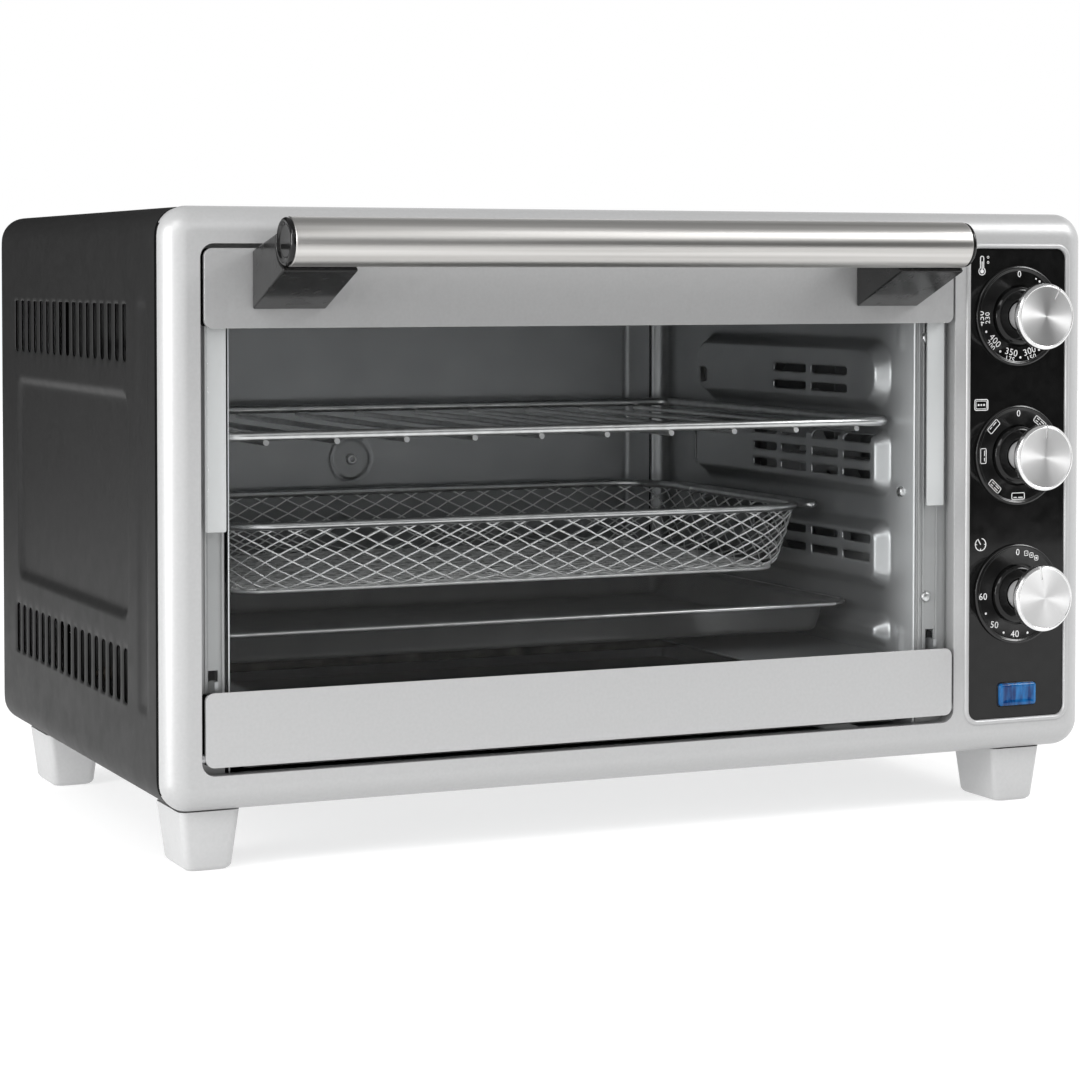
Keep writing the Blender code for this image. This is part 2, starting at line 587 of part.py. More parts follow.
def side_wall(name, face, inward):
    """A pressed side wall whose raised pads leave grooves that the rack, basket and pan slide in."""
    columns = [(FRAME_Y[1] + GAP, 0.0)]
    columns += [(PAD_Y[0], 0.0), (PAD_Y[1], 1.0), (PAD_Y[2], 1.0), (PAD_Y[3], 0.0)]
    columns.append((CAV_BACK - GAP, 0.0))
    bm = bmesh.new()
    skins = []
    for offset in (0.0, -CAV_SHEET * inward):
        skin = []
        for z, up in wall_rows():
            skin.append([bm.verts.new((face + offset + inward * PAD_RISE * up * across, y, z))
                         for y, across in columns])
        skins.append(skin)
    near, far = skins
    rows, count = len(near), len(columns)
    for skin in skins:
        for r in range(rows - 1):
            for c in range(count - 1):
                bm.faces.new((skin[r][c], skin[r][c + 1], skin[r + 1][c + 1], skin[r + 1][c]))
    for r in range(rows - 1):
        for c in (0, count - 1):
            bm.faces.new((near[r][c], near[r + 1][c], far[r + 1][c], far[r][c]))
    for c in range(count - 1):
        for r in (0, rows - 1):
            bm.faces.new((near[r][c], near[r][c + 1], far[r][c + 1], far[r][c]))
    return make(name, bm, "galvanised_steel")


def wall_holes(bm, x):
    for label, y, z in ELEMENTS:
        lathe(bm, "x", (y, z), [(x - 12.0, ELEMENT_R + 0.7), (x + 12.0, ELEMENT_R + 0.7)], 10)
    return bm


def cavity():
    left = side_wall("cavity_left_wall", CAV_X[0], 1)
    boolean(left, "left_wall_holes", wall_holes(bmesh.new(), CAV_X[0]))
    right = side_wall("cavity_right_wall", CAV_X[1], -1)
    holes = wall_holes(bmesh.new(), CAV_X[1])
    openings = [(columns, row) for row in SLOT_ROWS for columns in SLOT_COLUMNS]
    openings += [(columns, row) for row in TOP_SLOT_ROWS for columns in TOP_SLOTS]
    for columns, row in openings:
        prism(holes, "x", rounded(columns, (row - SLOT_H / 2, row + SLOT_H / 2), SLOT_H / 2 - 0.3, 1),
              CAV_X[1] - 12.0, CAV_X[1] + 12.0)
    box(holes, (CAV_X[1] - 12.0, CAV_X[1] + 12.0), (209.0, 217.0), (Z0 + 169.0, Z0 + 176.5))
    box(holes, (CAV_X[1] - 12.0, CAV_X[1] + 12.0), (232.0, 235.2), (Z0 + 124.4, Z0 + 142.0))
    boolean(right, "right_wall_holes", holes)
    x = (CAV_X[0] - CAV_SHEET, CAV_X[1] + CAV_SHEET)
    back = make("cavity_back_wall", box(bmesh.new(), x, (CAV_BACK, CAV_BACK + CAV_SHEET), (CAV_LOW, CAV_TOP - GAP)),
                "galvanised_steel")
    boss = lathe(bmesh.new(), "y", (-44.5, Z0 + 128.5),
                 [(CAV_BACK + 0.3, 11.5), (CAV_BACK - 1.0, 10.5), (CAV_BACK - 1.0, 3.0), (CAV_BACK - 2.6, 2.4)], 20)
    smooth(boolean(back, "back_wall_boss", boss, "UNION"), 30)
    make("cavity_top", box(bmesh.new(), x, (FRAME_Y[1] + GAP, CAV_BACK + CAV_SHEET), (CAV_TOP, CAV_TOP + CAV_SHEET)),
         "galvanised_steel")
    floor = make("cavity_floor", box(bmesh.new(), (CAV_X[0] + GAP, CAV_X[1] - GAP), (12.0, CAV_BACK - GAP),
                                     (CAV_FLOOR - CAV_SHEET, CAV_FLOOR)), "galvanised_steel")
    well = prism(bmesh.new(), "z", rounded(WELL_X, WELL_Y, 8.0, 3), CAV_FLOOR - 5.0, CAV_FLOOR + 5.0)
    boolean(floor, "floor_well", well)


def cavity_frame():
    """The flat steel frame behind the door, with a slot for each hinge arm."""
    outline = rounded((-HALF_W + 4.5, PANEL_X[0] - 4.0), (Z0 + 5.6, Z0 + BODY_H - 6.0), 4.0, 2)
    obj = make("cavity_front_frame", prism(bmesh.new(), "y", outline, *FRAME_Y), "galvanised_steel")
    cuts = bmesh.new()
    prism(cuts, "y", rounded(FRAME_HOLE_X, (Z0 + 11.0, Z0 + 222.0), 4.0, 3), 5.0, 14.0)
    for side, wall in ((1, DOOR_X[0]), (-1, DOOR_X[1])):
        middle = wall + side * (ARM_X + ARM_T / 2)
        box(cuts, (middle - 2.2, middle + 2.2), (5.0, 14.0), (HINGE_Z + 23.5, HINGE_Z + 36.0))
    return smooth(boolean(obj, "frame_cuts", cuts), 30)


def heating_elements():
    for label, y, z in ELEMENTS:
        profile = [(CAV_X[0] - 8.0, 1.6), (CAV_X[0] - 4.0, 1.6), (CAV_X[0] - 4.0, ELEMENT_R),
                   (CAV_X[1] + 4.0, ELEMENT_R), (CAV_X[1] + 4.0, 1.6), (CAV_X[1] + 8.0, 1.6)]
        smooth(make("heater_" + label, lathe(bmesh.new(), "x", (y, z), profile, 16), "heater_sheath"))


def tray(name, slot, x, y, z, flange, draft, corner, steps=4):
    """An open sheet tray: rim edges x and y, base and rim heights z, with sloping walls."""
    def loop(inset, height):
        outline = rounded((x[0] + inset, x[1] - inset), (y[0] + inset, y[1] - inset), max(corner - inset, 2.0), steps)
        return [(p[0], p[1], height) for p in outline]
    sheet = TRAY_SHEET
    loops = [loop(flange + draft, z[0]), loop(flange, z[1] - sheet)]
    if flange > 0.5:
        loops.append(loop(0.0, z[1] - sheet))
        loops.append(loop(0.0, z[1]))
    else:
        loops.append(loop(0.0, z[1]))
    loops.append(loop(flange + sheet, z[1]))
    loops.append(loop(flange + draft + sheet, z[0] + sheet))
    return smooth(make(name, loft(bmesh.new(), loops), slot), 35)


def wire_rack():
    """A round-cornered rail with wires from front to back under it."""
    rail_line = [(x, y, RACK_Z) for x, y in rounded(TRAY_X, RACK_Y, 9.0, 4)]
    obj = make("wire_rack", wire(bmesh.new(), rail_line, RACK_RAIL_R, True, 8), "chrome")
    wires = bmesh.new()
    middle = (TRAY_X[0] + TRAY_X[1]) / 2
    drop = RACK_RAIL_R + RACK_WIRE_R - 1.0
    for k in range(RACK_WIRES):
        x = middle + (k - (RACK_WIRES - 1) / 2) * RACK_PITCH
        line = [(x, RACK_Y[0] - 2.2, RACK_Z - drop), (x, RACK_Y[1] + 2.2, RACK_Z - drop)]
        wire(wires, line, RACK_WIRE_R, False, 6)
    return smooth(boolean(obj, "rack_wires", wires, "UNION"), 45)


def basket():
    """The basket's rim wire with a support loop on each side, and its thin tapered body."""
    line = [(x, y, BASKET_Z[1]) for x, y in rounded(BASKET_X, BASKET_Y, 28.0, 5)]
    rim = make("basket_rim", wire(bmesh.new(), line, BASKET_WIRE_R, True, 8), "chrome")
    ears = bmesh.new()
    for side, wall, edge in ((-1, TRAY_X[0], BASKET_X[0]), (1, TRAY_X[1], BASKET_X[1])):
        end = wall - side * 1.0
        loop = [(edge - side * 0.6, 100.0 + 36.0), (end - side * 9.0, 97.0 + 4.0), (end - side * 2.0, 104.0),
                (end, 111.0), (end, 236.0), (end - side * 2.0, 243.0), (end - side * 9.0, 246.0),
                (edge - side * 0.6, 232.0)]
        wire(ears, [(x, y, BASKET_Z[1]) for x, y in loop], BASKET_WIRE_R - 0.3, False, 6)
    smooth(boolean(rim, "basket_ears", ears, "UNION"), 45)
    inset = BASKET_WIRE_R + GAP
    x = (BASKET_X[0] + inset, BASKET_X[1] - inset)
    y = (BASKET_Y[0] + inset, BASKET_Y[1] - inset)
    tray("basket_mesh", "chrome", x, y, (BASKET_Z[0], BASKET_Z[1] + 0.5), 0.0, 14.0, 26.0, 5)


def pan_and_crumb_tray():
    tray("baking_pan", "dark_pan", TRAY_X, PAN_Y, PAN_Z, 10.0, 5.0, 16.0)
    tray("crumb_tray", "galvanised_steel", (-190.0, 133.0), CRUMB_Y, CRUMB_Z, 0.0, 0.4, 4.0, 2)


def fan():
    """Motor, wheel and shroud of the convection fan, on the axis through the slots of the right wall."""
    centre = (FAN_Y, FAN_Z)
    axis = (FAN_X[0], FAN_Y, FAN_Z)
    hub = lathe(bmesh.new(), "x", centre, [(FAN_X[0], 9.0), (FAN_X[1], 9.0), (FAN_X[1], 2.5),
                                           (MOTOR_X[0] + 3.0, 2.5)], 20)
    wheel = make("fan_wheel", hub, "galvanised_steel", axis)
    blades = bmesh.new()
    for k in range(8):
        angle = 2 * math.pi * k / 8
        points = []
        for along, across in ((7.0, -0.5), (FAN_R, -0.5), (FAN_R, 0.5), (7.0, 0.5)):
            points.append((FAN_Y + along * math.cos(angle) - across * math.sin(angle),
                           FAN_Z + along * math.sin(angle) + across * math.cos(angle)))
        prism(blades, "x", points, FAN_X[0] + 0.4, FAN_X[1] - 0.4)
    smooth(boolean(wheel, "fan_blades", blades, "UNION", axis), 30)
    near, far = CAV_X[1] + 1.2, 160.5
    drum = [(near, SHROUD_R + 6.0), (near + 1.0, SHROUD_R + 6.0), (near + 1.0, SHROUD_R), (far, SHROUD_R), (far, 5.0),
            (far - 1.0, 5.0), (far - 1.0, SHROUD_R - 1.0), (near, SHROUD_R - 1.0)]
    smooth(make("fan_shroud", hollow(bmesh.new(), "x", centre, drum, 32), "galvanised_steel"), 30)
    motor = lathe(bmesh.new(), "x", centre, [(MOTOR_X[0] - 3.0, 8.0), (MOTOR_X[0], 8.0), (MOTOR_X[0], 26.0),
                                             (MOTOR_X[1], 26.0), (MOTOR_X[1], 7.0), (MOTOR_X[1] + 4.0, 7.0)], 24)
    body = make("fan_motor", motor, "galvanised_steel")
    bore = lathe(bmesh.new(), "x", centre, [(MOTOR_X[0] - 6.0, 2.9), (MOTOR_X[0] + 6.0, 2.9)], 12)
    smooth(boolean(body, "motor_bore", bore), 30)


def mains_entry():
    gland = lathe(bmesh.new(), "y", (170.0, Z0 + 34.0),
                  [(278.0, 6.6), (284.4, 6.6), (284.4, 10.5), (287.0, 10.5), (GLAND_BACK, 7.0)], 24)
    obj = make("cord_gland", gland, "black_plastic")
    bore = lathe(bmesh.new(), "y", (170.0, Z0 + 34.0), [(270.0, 3.6), (295.0, 3.6)], 16)
    smooth(boolean(obj, "gland_bore", bore), 30)
    make("terminal_block", box(bmesh.new(), (157.0, 183.0), (250.0, 264.0), (Z0 + 4.0, Z0 + 20.0)), "cream_plastic")


def main():
    clear_scene()
    outer_casing()
    rear_cover()
    base_plate()
    feet()
    front_bezel()
    control_panel()
    dials_and_knobs()
    indicator()
    control_parts()
    door()
    hinge_arms()
    handle()
    cavity()
    cavity_frame()
    heating_elements()
    wire_rack()
    basket()
    pan_and_crumb_tray()
    fan()
    mains_entry()


main()
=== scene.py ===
"""The looks of a countertop toaster oven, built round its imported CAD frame."""

import json
import math

import bmesh
import bpy
from mathutils import Matrix, Vector

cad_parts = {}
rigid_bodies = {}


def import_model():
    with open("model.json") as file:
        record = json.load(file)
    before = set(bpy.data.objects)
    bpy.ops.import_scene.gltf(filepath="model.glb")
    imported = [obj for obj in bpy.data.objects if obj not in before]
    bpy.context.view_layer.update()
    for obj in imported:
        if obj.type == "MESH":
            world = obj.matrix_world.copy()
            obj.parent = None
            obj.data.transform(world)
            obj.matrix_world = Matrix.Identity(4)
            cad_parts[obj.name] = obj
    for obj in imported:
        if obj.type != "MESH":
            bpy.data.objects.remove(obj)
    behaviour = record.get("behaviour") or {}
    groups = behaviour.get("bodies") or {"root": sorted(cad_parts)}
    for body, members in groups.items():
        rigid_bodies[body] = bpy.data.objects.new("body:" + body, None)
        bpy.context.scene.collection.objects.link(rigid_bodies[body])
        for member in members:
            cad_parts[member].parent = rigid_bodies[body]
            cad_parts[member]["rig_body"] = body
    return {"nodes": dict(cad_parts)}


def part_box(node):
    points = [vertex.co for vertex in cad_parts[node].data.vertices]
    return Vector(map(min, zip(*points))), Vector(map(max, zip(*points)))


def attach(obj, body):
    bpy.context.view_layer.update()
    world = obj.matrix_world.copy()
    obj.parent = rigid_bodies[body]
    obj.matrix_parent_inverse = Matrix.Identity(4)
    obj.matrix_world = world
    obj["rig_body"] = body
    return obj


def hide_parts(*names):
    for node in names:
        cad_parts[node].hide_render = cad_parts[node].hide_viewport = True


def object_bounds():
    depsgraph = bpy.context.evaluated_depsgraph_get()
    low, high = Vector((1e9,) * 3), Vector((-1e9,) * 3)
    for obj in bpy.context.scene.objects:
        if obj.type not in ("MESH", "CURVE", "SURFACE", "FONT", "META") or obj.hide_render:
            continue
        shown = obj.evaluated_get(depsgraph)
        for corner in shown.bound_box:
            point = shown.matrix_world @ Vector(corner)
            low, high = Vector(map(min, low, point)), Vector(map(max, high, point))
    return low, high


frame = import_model()
cad_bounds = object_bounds()

MM = 0.001
# Shapes below are in oven millimetres: x from the middle, y back from the bezel's face, z up from its foot.
ORIGIN = (0.0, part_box("front_bezel")[0].y / MM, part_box("front_bezel")[0].z / MM)

# Pressed features of the sheet metal
CASE_SHEET = 0.7
CASE_R = 12.0
CASE_TURN = 20.0
VENT_Y = (62.0, 254.0)
VENT_COUNT = 17
VENT_HALF = 3.3
VENT_ROWS = ((39.6, 63.2), (187.9, 212.8))
RECESS_Y, RECESS_Z = (56.0, 253.0), (76.0, 175.5)
GROOVE_Y, GROOVE_Z = (27.0, 42.0), (37.0, 216.0)
PADS_Y = (30.0, 226.0)
PADS_Z = ((159.6, 195.4), (119.1, 152.9), (75.1, 108.9), (47.6, 63.4))
SLOT_HALF = 1.85
SLOT_COLUMNS = ((39.6, 65.0), (70.4, 95.6), (101.6, 127.0), (132.0, 156.0))
SLOT_ROWS = (147.0, 138.5, 130.0, 99.2, 90.3)
TOP_SLOTS = ((62.0, 96.6), (102.4, 135.0))
TOP_SLOT_ROWS = (179.0, 170.4)
CORNER_R = 8.0
WALL_HOLES = ((209.0, 217.0, 169.0, 176.5), (231.8, 235.4, 124.4, 142.0))
GAUGE = 0.6
ROLL = 2.4
LOUVRE_HALF = 1.6
RAIL_SHEET = 1.2
DIMPLES = ((22.0, 197.0), (22.0, 52.0))
BANDS = (116.0, -173.0)

# Each knob's name and where its pointer stands, in degrees clockwise from the top
KNOBS = (("temperature", 30.0), ("mode", 3.0), ("timer", -10.0))
# Dial printing: text, size, clock angle, radius and tilt of each number, and the clock angles of the dots between
NUMBERS = {"temperature": (("300", 4.5, 160.5, 17.7, -18.0), ("150", 3.5, 160.5, 21.0, -18.0),
                           ("350", 4.5, 194.0, 17.7, 13.0), ("175", 3.5, 194.0, 21.0, 13.0),
                           ("400", 4.5, 229.0, 17.7, 46.0), ("200", 3.5, 229.0, 21.0, 46.0),
                           ("450", 4.5, 267.0, 20.9, -93.0), ("230", 3.5, 267.0, 17.4, -93.0)),
           "mode": (),
           "timer": (("60", 4.4, 268.0, 19.2, 0.0), ("50", 4.4, 222.0, 19.2, 8.0),
                     ("40", 4.4, 184.0, 19.2, 0.0), ("30", 4.4, 142.0, 19.2, -6.0))}
DOTS = {"temperature": (177.5, 212.0, 248.0, 145.0), "mode": (), "timer": (244.0, 203.0, 163.0, 122.0)}
PRINT_R = 19.6

WHITE = (1.0, 1.0, 1.0, 1.0)

# Studio cards that only reflections see: name, centre, size, and how much light each gives off
CARDS = (("front_card", (0.94, -1.15, 0.305), (2.12, 0.0, 0.59), 0.0),
         ("back_card", (-0.9, 0.95, 0.605), (2.0, 0.0, 1.19), 0.0),
         ("side_card", (-2.1, 0.2, 0.8), (0.0, 1.6, 1.5), 0.3),
         ("ceiling_card", (0.0, 0.0, 2.0), (4.4, 4.4, 0.0), 0.34))
# Soft lamps: name, place, width, height and power
LAMPS = (("key", (-1.3, -1.2, 1.5), 0.8, 0.8, 8.0), ("side_strip", (-1.6, -0.46, 0.42), 0.6, 0.9, 20.0),
         ("fill", (1.4, -1.0, 1.3), 0.7, 0.7, 18.0))


# ---------------------------------------------------------------- shapes

def span(node):
    """(low, high) of a CAD node along x, y and z, in oven millimetres."""
    low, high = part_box(node)
    return [(low[i] / MM - ORIGIN[i], high[i] / MM - ORIGIN[i]) for i in range(3)]


def middle(pair):
    return (pair[0] + pair[1]) / 2


def ease(value, start, end):
    share = min(max((value - start) / (end - start), 0.0), 1.0)
    return share * share * (3 - 2 * share)


def field(a, b, a_range, b_range, radius, slope):
    """1 inside a round-cornered field, easing to 0 across a slope inside its edge."""
    da = abs(a - middle(a_range)) - (a_range[1] - a_range[0]) / 2 + radius
    db = abs(b - middle(b_range)) - (b_range[1] - b_range[0]) / 2 + radius
    outside = math.hypot(max(da, 0.0), max(db, 0.0)) + min(max(da, db), 0.0) - radius
    return ease(-outside, 0.0, slope)


def about(values, *offsets):
    """Every value shifted by every offset."""
    return [value + offset for value in values for offset in offsets]


def grid_lines(low, high, step, exact):
    """Values from low to high, no further apart than step, that take in every exact one."""
    marks = sorted({round(v, 3) for v in (low, high, *exact) if low <= v <= high})
    out = []
    for a, b in zip(marks, marks[1:]):
        count = max(1, math.ceil((b - a) / step - 0.01))
        out += [a + (b - a) * k / count for k in range(count)]
    return out + [marks[-1]]


def oblong(a, b):
    """The corners of the rectangle a = (low, high) by b = (low, high)."""
    return [(a[0], b[0]), (a[1], b[0]), (a[1], b[1]), (a[0], b[1])]


def rounded(a, b, r, steps=8, inset=0.0):
    """That rectangle's outline drawn in by inset, with its corners rounded by r."""
    a, b = [(low + inset, high - inset) for low, high in (a, b)]
    points = []
    for ca, cb, start in ((a[1] - r, b[1] - r, 0), (a[0] + r, b[1] - r, 90),
                          (a[0] + r, b[0] + r, 180), (a[1] - r, b[0] + r, 270)):
        for k in range(steps + 1):
            angle = math.radians(start + 90.0 * k / steps)
            points.append((ca + r * math.cos(angle), cb + r * math.sin(angle)))
    return points


def soften(points, radii, steps=4):
    """An open line of 2-D points with each inner corner rounded."""
    out = [points[0]]
    for k in range(1, len(points) - 1):
        corner = Vector(points[k])
        radius = radii[k - 1] if isinstance(radii, list) else radii
        ends = []
        for other in (points[k - 1], points[k + 1]):
            arm = Vector(other) - corner
            ends.append(corner + arm.normalized() * min(radius, arm.length / 2))
        for n in range(steps + 1):
            t = n / steps
            out.append(tuple(ends[0] * (1 - t) ** 2 + corner * 2 * t * (1 - t) + ends[1] * t * t))
    return out + [points[-1]]


def clock(centre, radius, degrees):
    """The point on a circle at an angle clockwise from its top."""
    turn = math.radians(degrees)
    return centre[0] + radius * math.sin(turn), centre[1] + radius * math.cos(turn)


def turned(points, centre, degrees):
    """2-D points measured from the centre, turned clockwise about it."""
    cos, sin = math.cos(math.radians(degrees)), math.sin(math.radians(degrees))
    return [(centre[0] + a * cos + b * sin, centre[1] - a * sin + b * cos) for a, b in points]


def rounded_path(centres, r, straights, first):
    """Straights that each end in a quarter turn round a centre: gives the point and the way out at a length."""
    arc = r * math.pi / 2

    def at(s):
        for k, straight in enumerate(straights):
            if s <= straight + arc + 1e-9 or k == len(straights) - 1:
                break
            s -= straight + arc
        angle = math.radians(first + 90.0 * k + 90.0 * max(s - straight, 0.0) / arc)
        out = (math.cos(angle), math.sin(angle))
        short = min(s - straight, 0.0)
        return (centres[k][0] + r * out[0] - short * out[1], centres[k][1] + r * out[1] + short * out[0]), out

    return at


def place(axis, point, along):
    """The 3-D point at a distance along an axis, whose other two coordinates are the 2-D point's."""
    if axis == "x":
        return (along, point[0], point[1])
    if axis == "y":
        return (point[0], along, point[1])
    return (point[0], point[1], along)


class Shape:
    """Points and faces of one mesh, in oven millimetres."""

    def __init__(self):
        self.points = []
        self.faces = []

    def ring(self, points):
        start = len(self.points)
        self.points.extend(points)
        return list(range(start, start + len(points)))

    def loft(self, loops, closed=False):
        rings = [self.ring(loop) for loop in loops]
        pairs = list(zip(rings, rings[1:])) + ([(rings[-1], rings[0])] if closed else [])
        for low, high in pairs:
            for k in range(len(low)):
                n = (k + 1) % len(low)
                self.faces.append((low[k], low[n], high[n], high[k]))
        if not closed:
            self.faces += [tuple(rings[0][::-1]), tuple(rings[-1])]
        return self

    def stack(self, axis, layers):
        """A solid through layers of (distance along axis, outline)."""
        return self.loft([[place(axis, p, along) for p in outline] for along, outline in layers])

    def prism(self, axis, outline, low, high):
        return self.stack(axis, [(low, outline), (high, outline)])

    def box(self, x, y, z):
        return self.prism("z", oblong(x, y), *z)

    def lathe(self, axis, centre, profile, steps=64, closed=False):
        """A turned shape: profile is (distance along axis, radius), and a closed one makes a ring."""
        circle = [(math.cos(2 * math.pi * k / steps), math.sin(2 * math.pi * k / steps)) for k in range(steps)]
        return self.loft([[place(axis, (centre[0] + radius * a, centre[1] + radius * b), along) for a, b in circle]
                          for along, radius in profile], closed)

    def tube(self, points, radius, closed=False, steps=12):
        """A round wire along 3-D points, its section carried along without twist."""
        path = [Vector(p) for p in points]
        count = len(path)
        normal = None
        loops = []
        for k, point in enumerate(path):
            before = path[k - 1] if closed or k else point
            after = path[(k + 1) % count] if closed or k + 1 < count else point
            along = (after - before).normalized()
            if normal is None:
                normal = along.orthogonal()
            normal = (normal - along * normal.dot(along)).normalized()
            side = along.cross(normal)
            loops.append([tuple(point + radius * (math.cos(2 * math.pi * s / steps) * normal
                                                  + math.sin(2 * math.pi * s / steps) * side))
                          for s in range(steps)])
        return self.loft(loops, closed)

    def wire(self, axis, points, along, radius, closed=True, steps=6):
        """A tube through 2-D points at a distance along an axis."""
        return self.tube([place(axis, p, along) for p in points], radius, closed, steps)


def set_all(thing, **values):
    for key, value in values.items():
        setattr(thing, key, value)
    return thing


def mesh_object(name, shape, outward=None):
    """An object of the shape. An open sheet says which way is outward, and a closed one works it out."""
    mesh = bpy.data.meshes.new(name)
    mesh.from_pydata([[(p[i] + ORIGIN[i]) * MM for i in range(3)] for p in shape.points], [], shape.faces)
    bm = bmesh.new()
    bm.from_mesh(mesh)
    bmesh.ops.delete(bm, geom=[v for v in bm.verts if not v.link_faces], context="VERTS")
    if outward is None:
        bmesh.ops.recalc_face_normals(bm, faces=bm.faces)
    else:
        bm.normal_update()
        if sum(f.normal.dot(Vector(outward(f.calc_center_median() / MM))) for f in bm.faces) < 0:
            bmesh.ops.reverse_faces(bm, faces=bm.faces)
    bm.to_mesh(mesh)
    bm.free()
    obj = bpy.data.objects.new(name, mesh)
    bpy.context.scene.collection.objects.link(obj)
    return obj


def cut(obj, shape):
    """Cuts the shape from the object, and keeps the result as the object's mesh."""
    helper = mesh_object("helper", shape)
    step = set_all(obj.modifiers.new("helper", "BOOLEAN"), operation="DIFFERENCE", solver="EXACT", object=helper)
    bpy.context.view_layer.update()
    made = bpy.data.meshes.new_from_object(obj.evaluated_get(bpy.context.evaluated_depsgraph_get()))
    obj.modifiers.remove(step)
    obj.data = made
    bpy.data.objects.remove(helper)


def dress(obj, looks, slot, node=None, edge=0.0, segments=2, turn=35.0, paint=None):
    """Gives the object its materials, edges and shading, and the CAD node that it stands for, if any. The slot
    argument is not used.
    """
    obj.data.materials.clear()
    for one in looks if isinstance(looks, list) else [looks]:
        obj.data.materials.append(one)
    for face in obj.data.polygons:
        centre = [face.center[i] / MM - ORIGIN[i] for i in range(3)]
        face.material_index = paint(centre, face.normal) if paint else 0
    obj.data.shade_smooth()
    obj.data.set_sharp_from_angle(angle=math.radians(turn))
    if edge:
        set_all(obj.modifiers.new("edges", "BEVEL"), width=edge * MM, segments=segments, limit_method="ANGLE",
                angle_limit=math.radians(turn))
        obj.modifiers.new("normals", "WEIGHTED_NORMAL").keep_sharp = True
    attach(obj, frame["nodes"][node]["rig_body"] if node else "oven")
    if node:
        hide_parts(node)


def add(name, shape, looks, slot, node=None, **how):
    dress(mesh_object(name, shape), looks, slot, node, **how)


def pressed(name, rows, columns, at, outward, is_open, sheet):
    """A pressed sheet over a grid of lines, with its open cells left out, smoothed and given its gauge."""
    shape = Shape()
    grid = [shape.ring([at(r, c) for c in columns]) for r in rows]
    for i in range(len(rows) - 1):
        for j in range(len(columns) - 1):
            if not is_open((rows[i] + rows[i + 1]) / 2, (columns[j] + columns[j + 1]) / 2):
                shape.faces.append((grid[i][j], grid[i][j + 1], grid[i + 1][j + 1], grid[i + 1][j]))
    obj = mesh_object(name, shape, outward)
    set_all(obj.modifiers.new("smooth", "SUBSURF"), levels=1, render_levels=1, boundary_smooth="PRESERVE_CORNERS")
    return obj, set_all(obj.modifiers.new("gauge", "SOLIDIFY"), thickness=sheet * MM, offset=-1.0)


# ---------------------------------------------------------------- materials

def set_sockets(node, values):
    """Sets input sockets by name, where From_Min stands for the socket From Min."""
    for key, value in values.items():
        node.inputs[key.replace("_", " ")].default_value = value
    return node


def look(name, colour, roughness, metallic=0.0, **inputs):
    made = bpy.data.materials.new(name)
    made.use_nodes = True
    set_sockets(made.node_tree.nodes["Principled BSDF"],
                {"Base Color": (*colour, 1.0), "Roughness": roughness, "Metallic": metallic, **inputs})
    return made


def tools(made):
    """A material's shader, a function that adds a node to it, and one that links two sockets."""
    tree = made.node_tree

    def new(kind, **values):
        return set_sockets(tree.nodes.new(kind), values)

    return tree.nodes["Principled BSDF"], new, tree.links.new


def noise(made, scale, detail=3.0, stretch=(1.0, 1.0, 1.0), kind="ShaderNodeTexNoise", out="Fac"):
    """A texture over the object's own coordinates, in metres."""
    _, new, link = tools(made)
    mapping = new("ShaderNodeMapping", Scale=stretch)
    texture = new(kind, Scale=scale, Detail=detail)
    link(new("ShaderNodeTexCoord").outputs["Object"], mapping.inputs["Vector"])
    link(mapping.outputs["Vector"], texture.inputs["Vector"])
    return texture.outputs[out]


def vary(made, socket, source, low, high, start=0.3, end=0.7):
    shader, new, link = tools(made)
    spread = new("ShaderNodeMapRange", From_Min=start, From_Max=end, To_Min=low, To_Max=high)
    link(source, spread.inputs["Value"])
    link(spread.outputs["Result"], shader.inputs[socket])
    return made


def tint(made, source, dark, light, start=0.3, end=0.7):
    shader, new, link = tools(made)
    ramp = new("ShaderNodeValToRGB")
    for stop, position, colour in zip(ramp.color_ramp.elements, (start, end), (dark, light)):
        stop.position = position
        stop.color = (*colour, 1.0)
    link(source, ramp.inputs["Fac"])
    link(ramp.outputs["Color"], shader.inputs["Base Color"])


def relief(made, source, strength, depth):
    """A bump of that depth in millimetres, laid over any bump already there."""
    shader, new, link = tools(made)
    socket = shader.inputs["Normal"]
    bump = new("ShaderNodeBump", Strength=strength, Distance=depth * MM)
    if socket.links:
        link(socket.links[0].from_socket, bump.inputs["Normal"])
    link(source, bump.inputs["Height"])
    link(bump.outputs["Normal"], socket)


def finish(name, base, tones, spread=None, bumps=(), **inputs):
    """A material of (colour, roughness, metallic), two tones, a roughness range and bumps, each with its noise."""
    made = look(name, *base, **inputs)
    tint(made, noise(made, *tones[0]), *tones[1:])
    if spread:
        vary(made, "Roughness", noise(made, *spread[0]), *spread[1:])
    for source, strength, depth in bumps:
        relief(made, noise(made, *source), strength, depth)
    return made


def grey(value, warm=0.0):
    return (value * (1 + warm), value, value * (1 - warm))


def silver_paint(name, level, roughness, metallic):
    """Satin silver finish with fine metal flake, faint cloudiness and a slight texture."""
    return finish(name, (grey(level), roughness, metallic),
                  ((700.0, 4.0), grey(level * 0.97, -0.004), grey(level * 1.02, -0.004)),
                  ((300.0, 5.0), roughness - 0.03, roughness + 0.03),
                  [((2600.0, 2.0), 0.10, 0.03)], Specular_IOR_Level=0.5)


def chrome(name, level, roughness, metallic=1.0):
    return finish(name, (grey(level), roughness, metallic),
                  ((160.0, 4.0), grey(level * 0.86), grey(level * 1.06)),
                  ((240.0, 4.0), roughness * 0.93, roughness * 1.15))


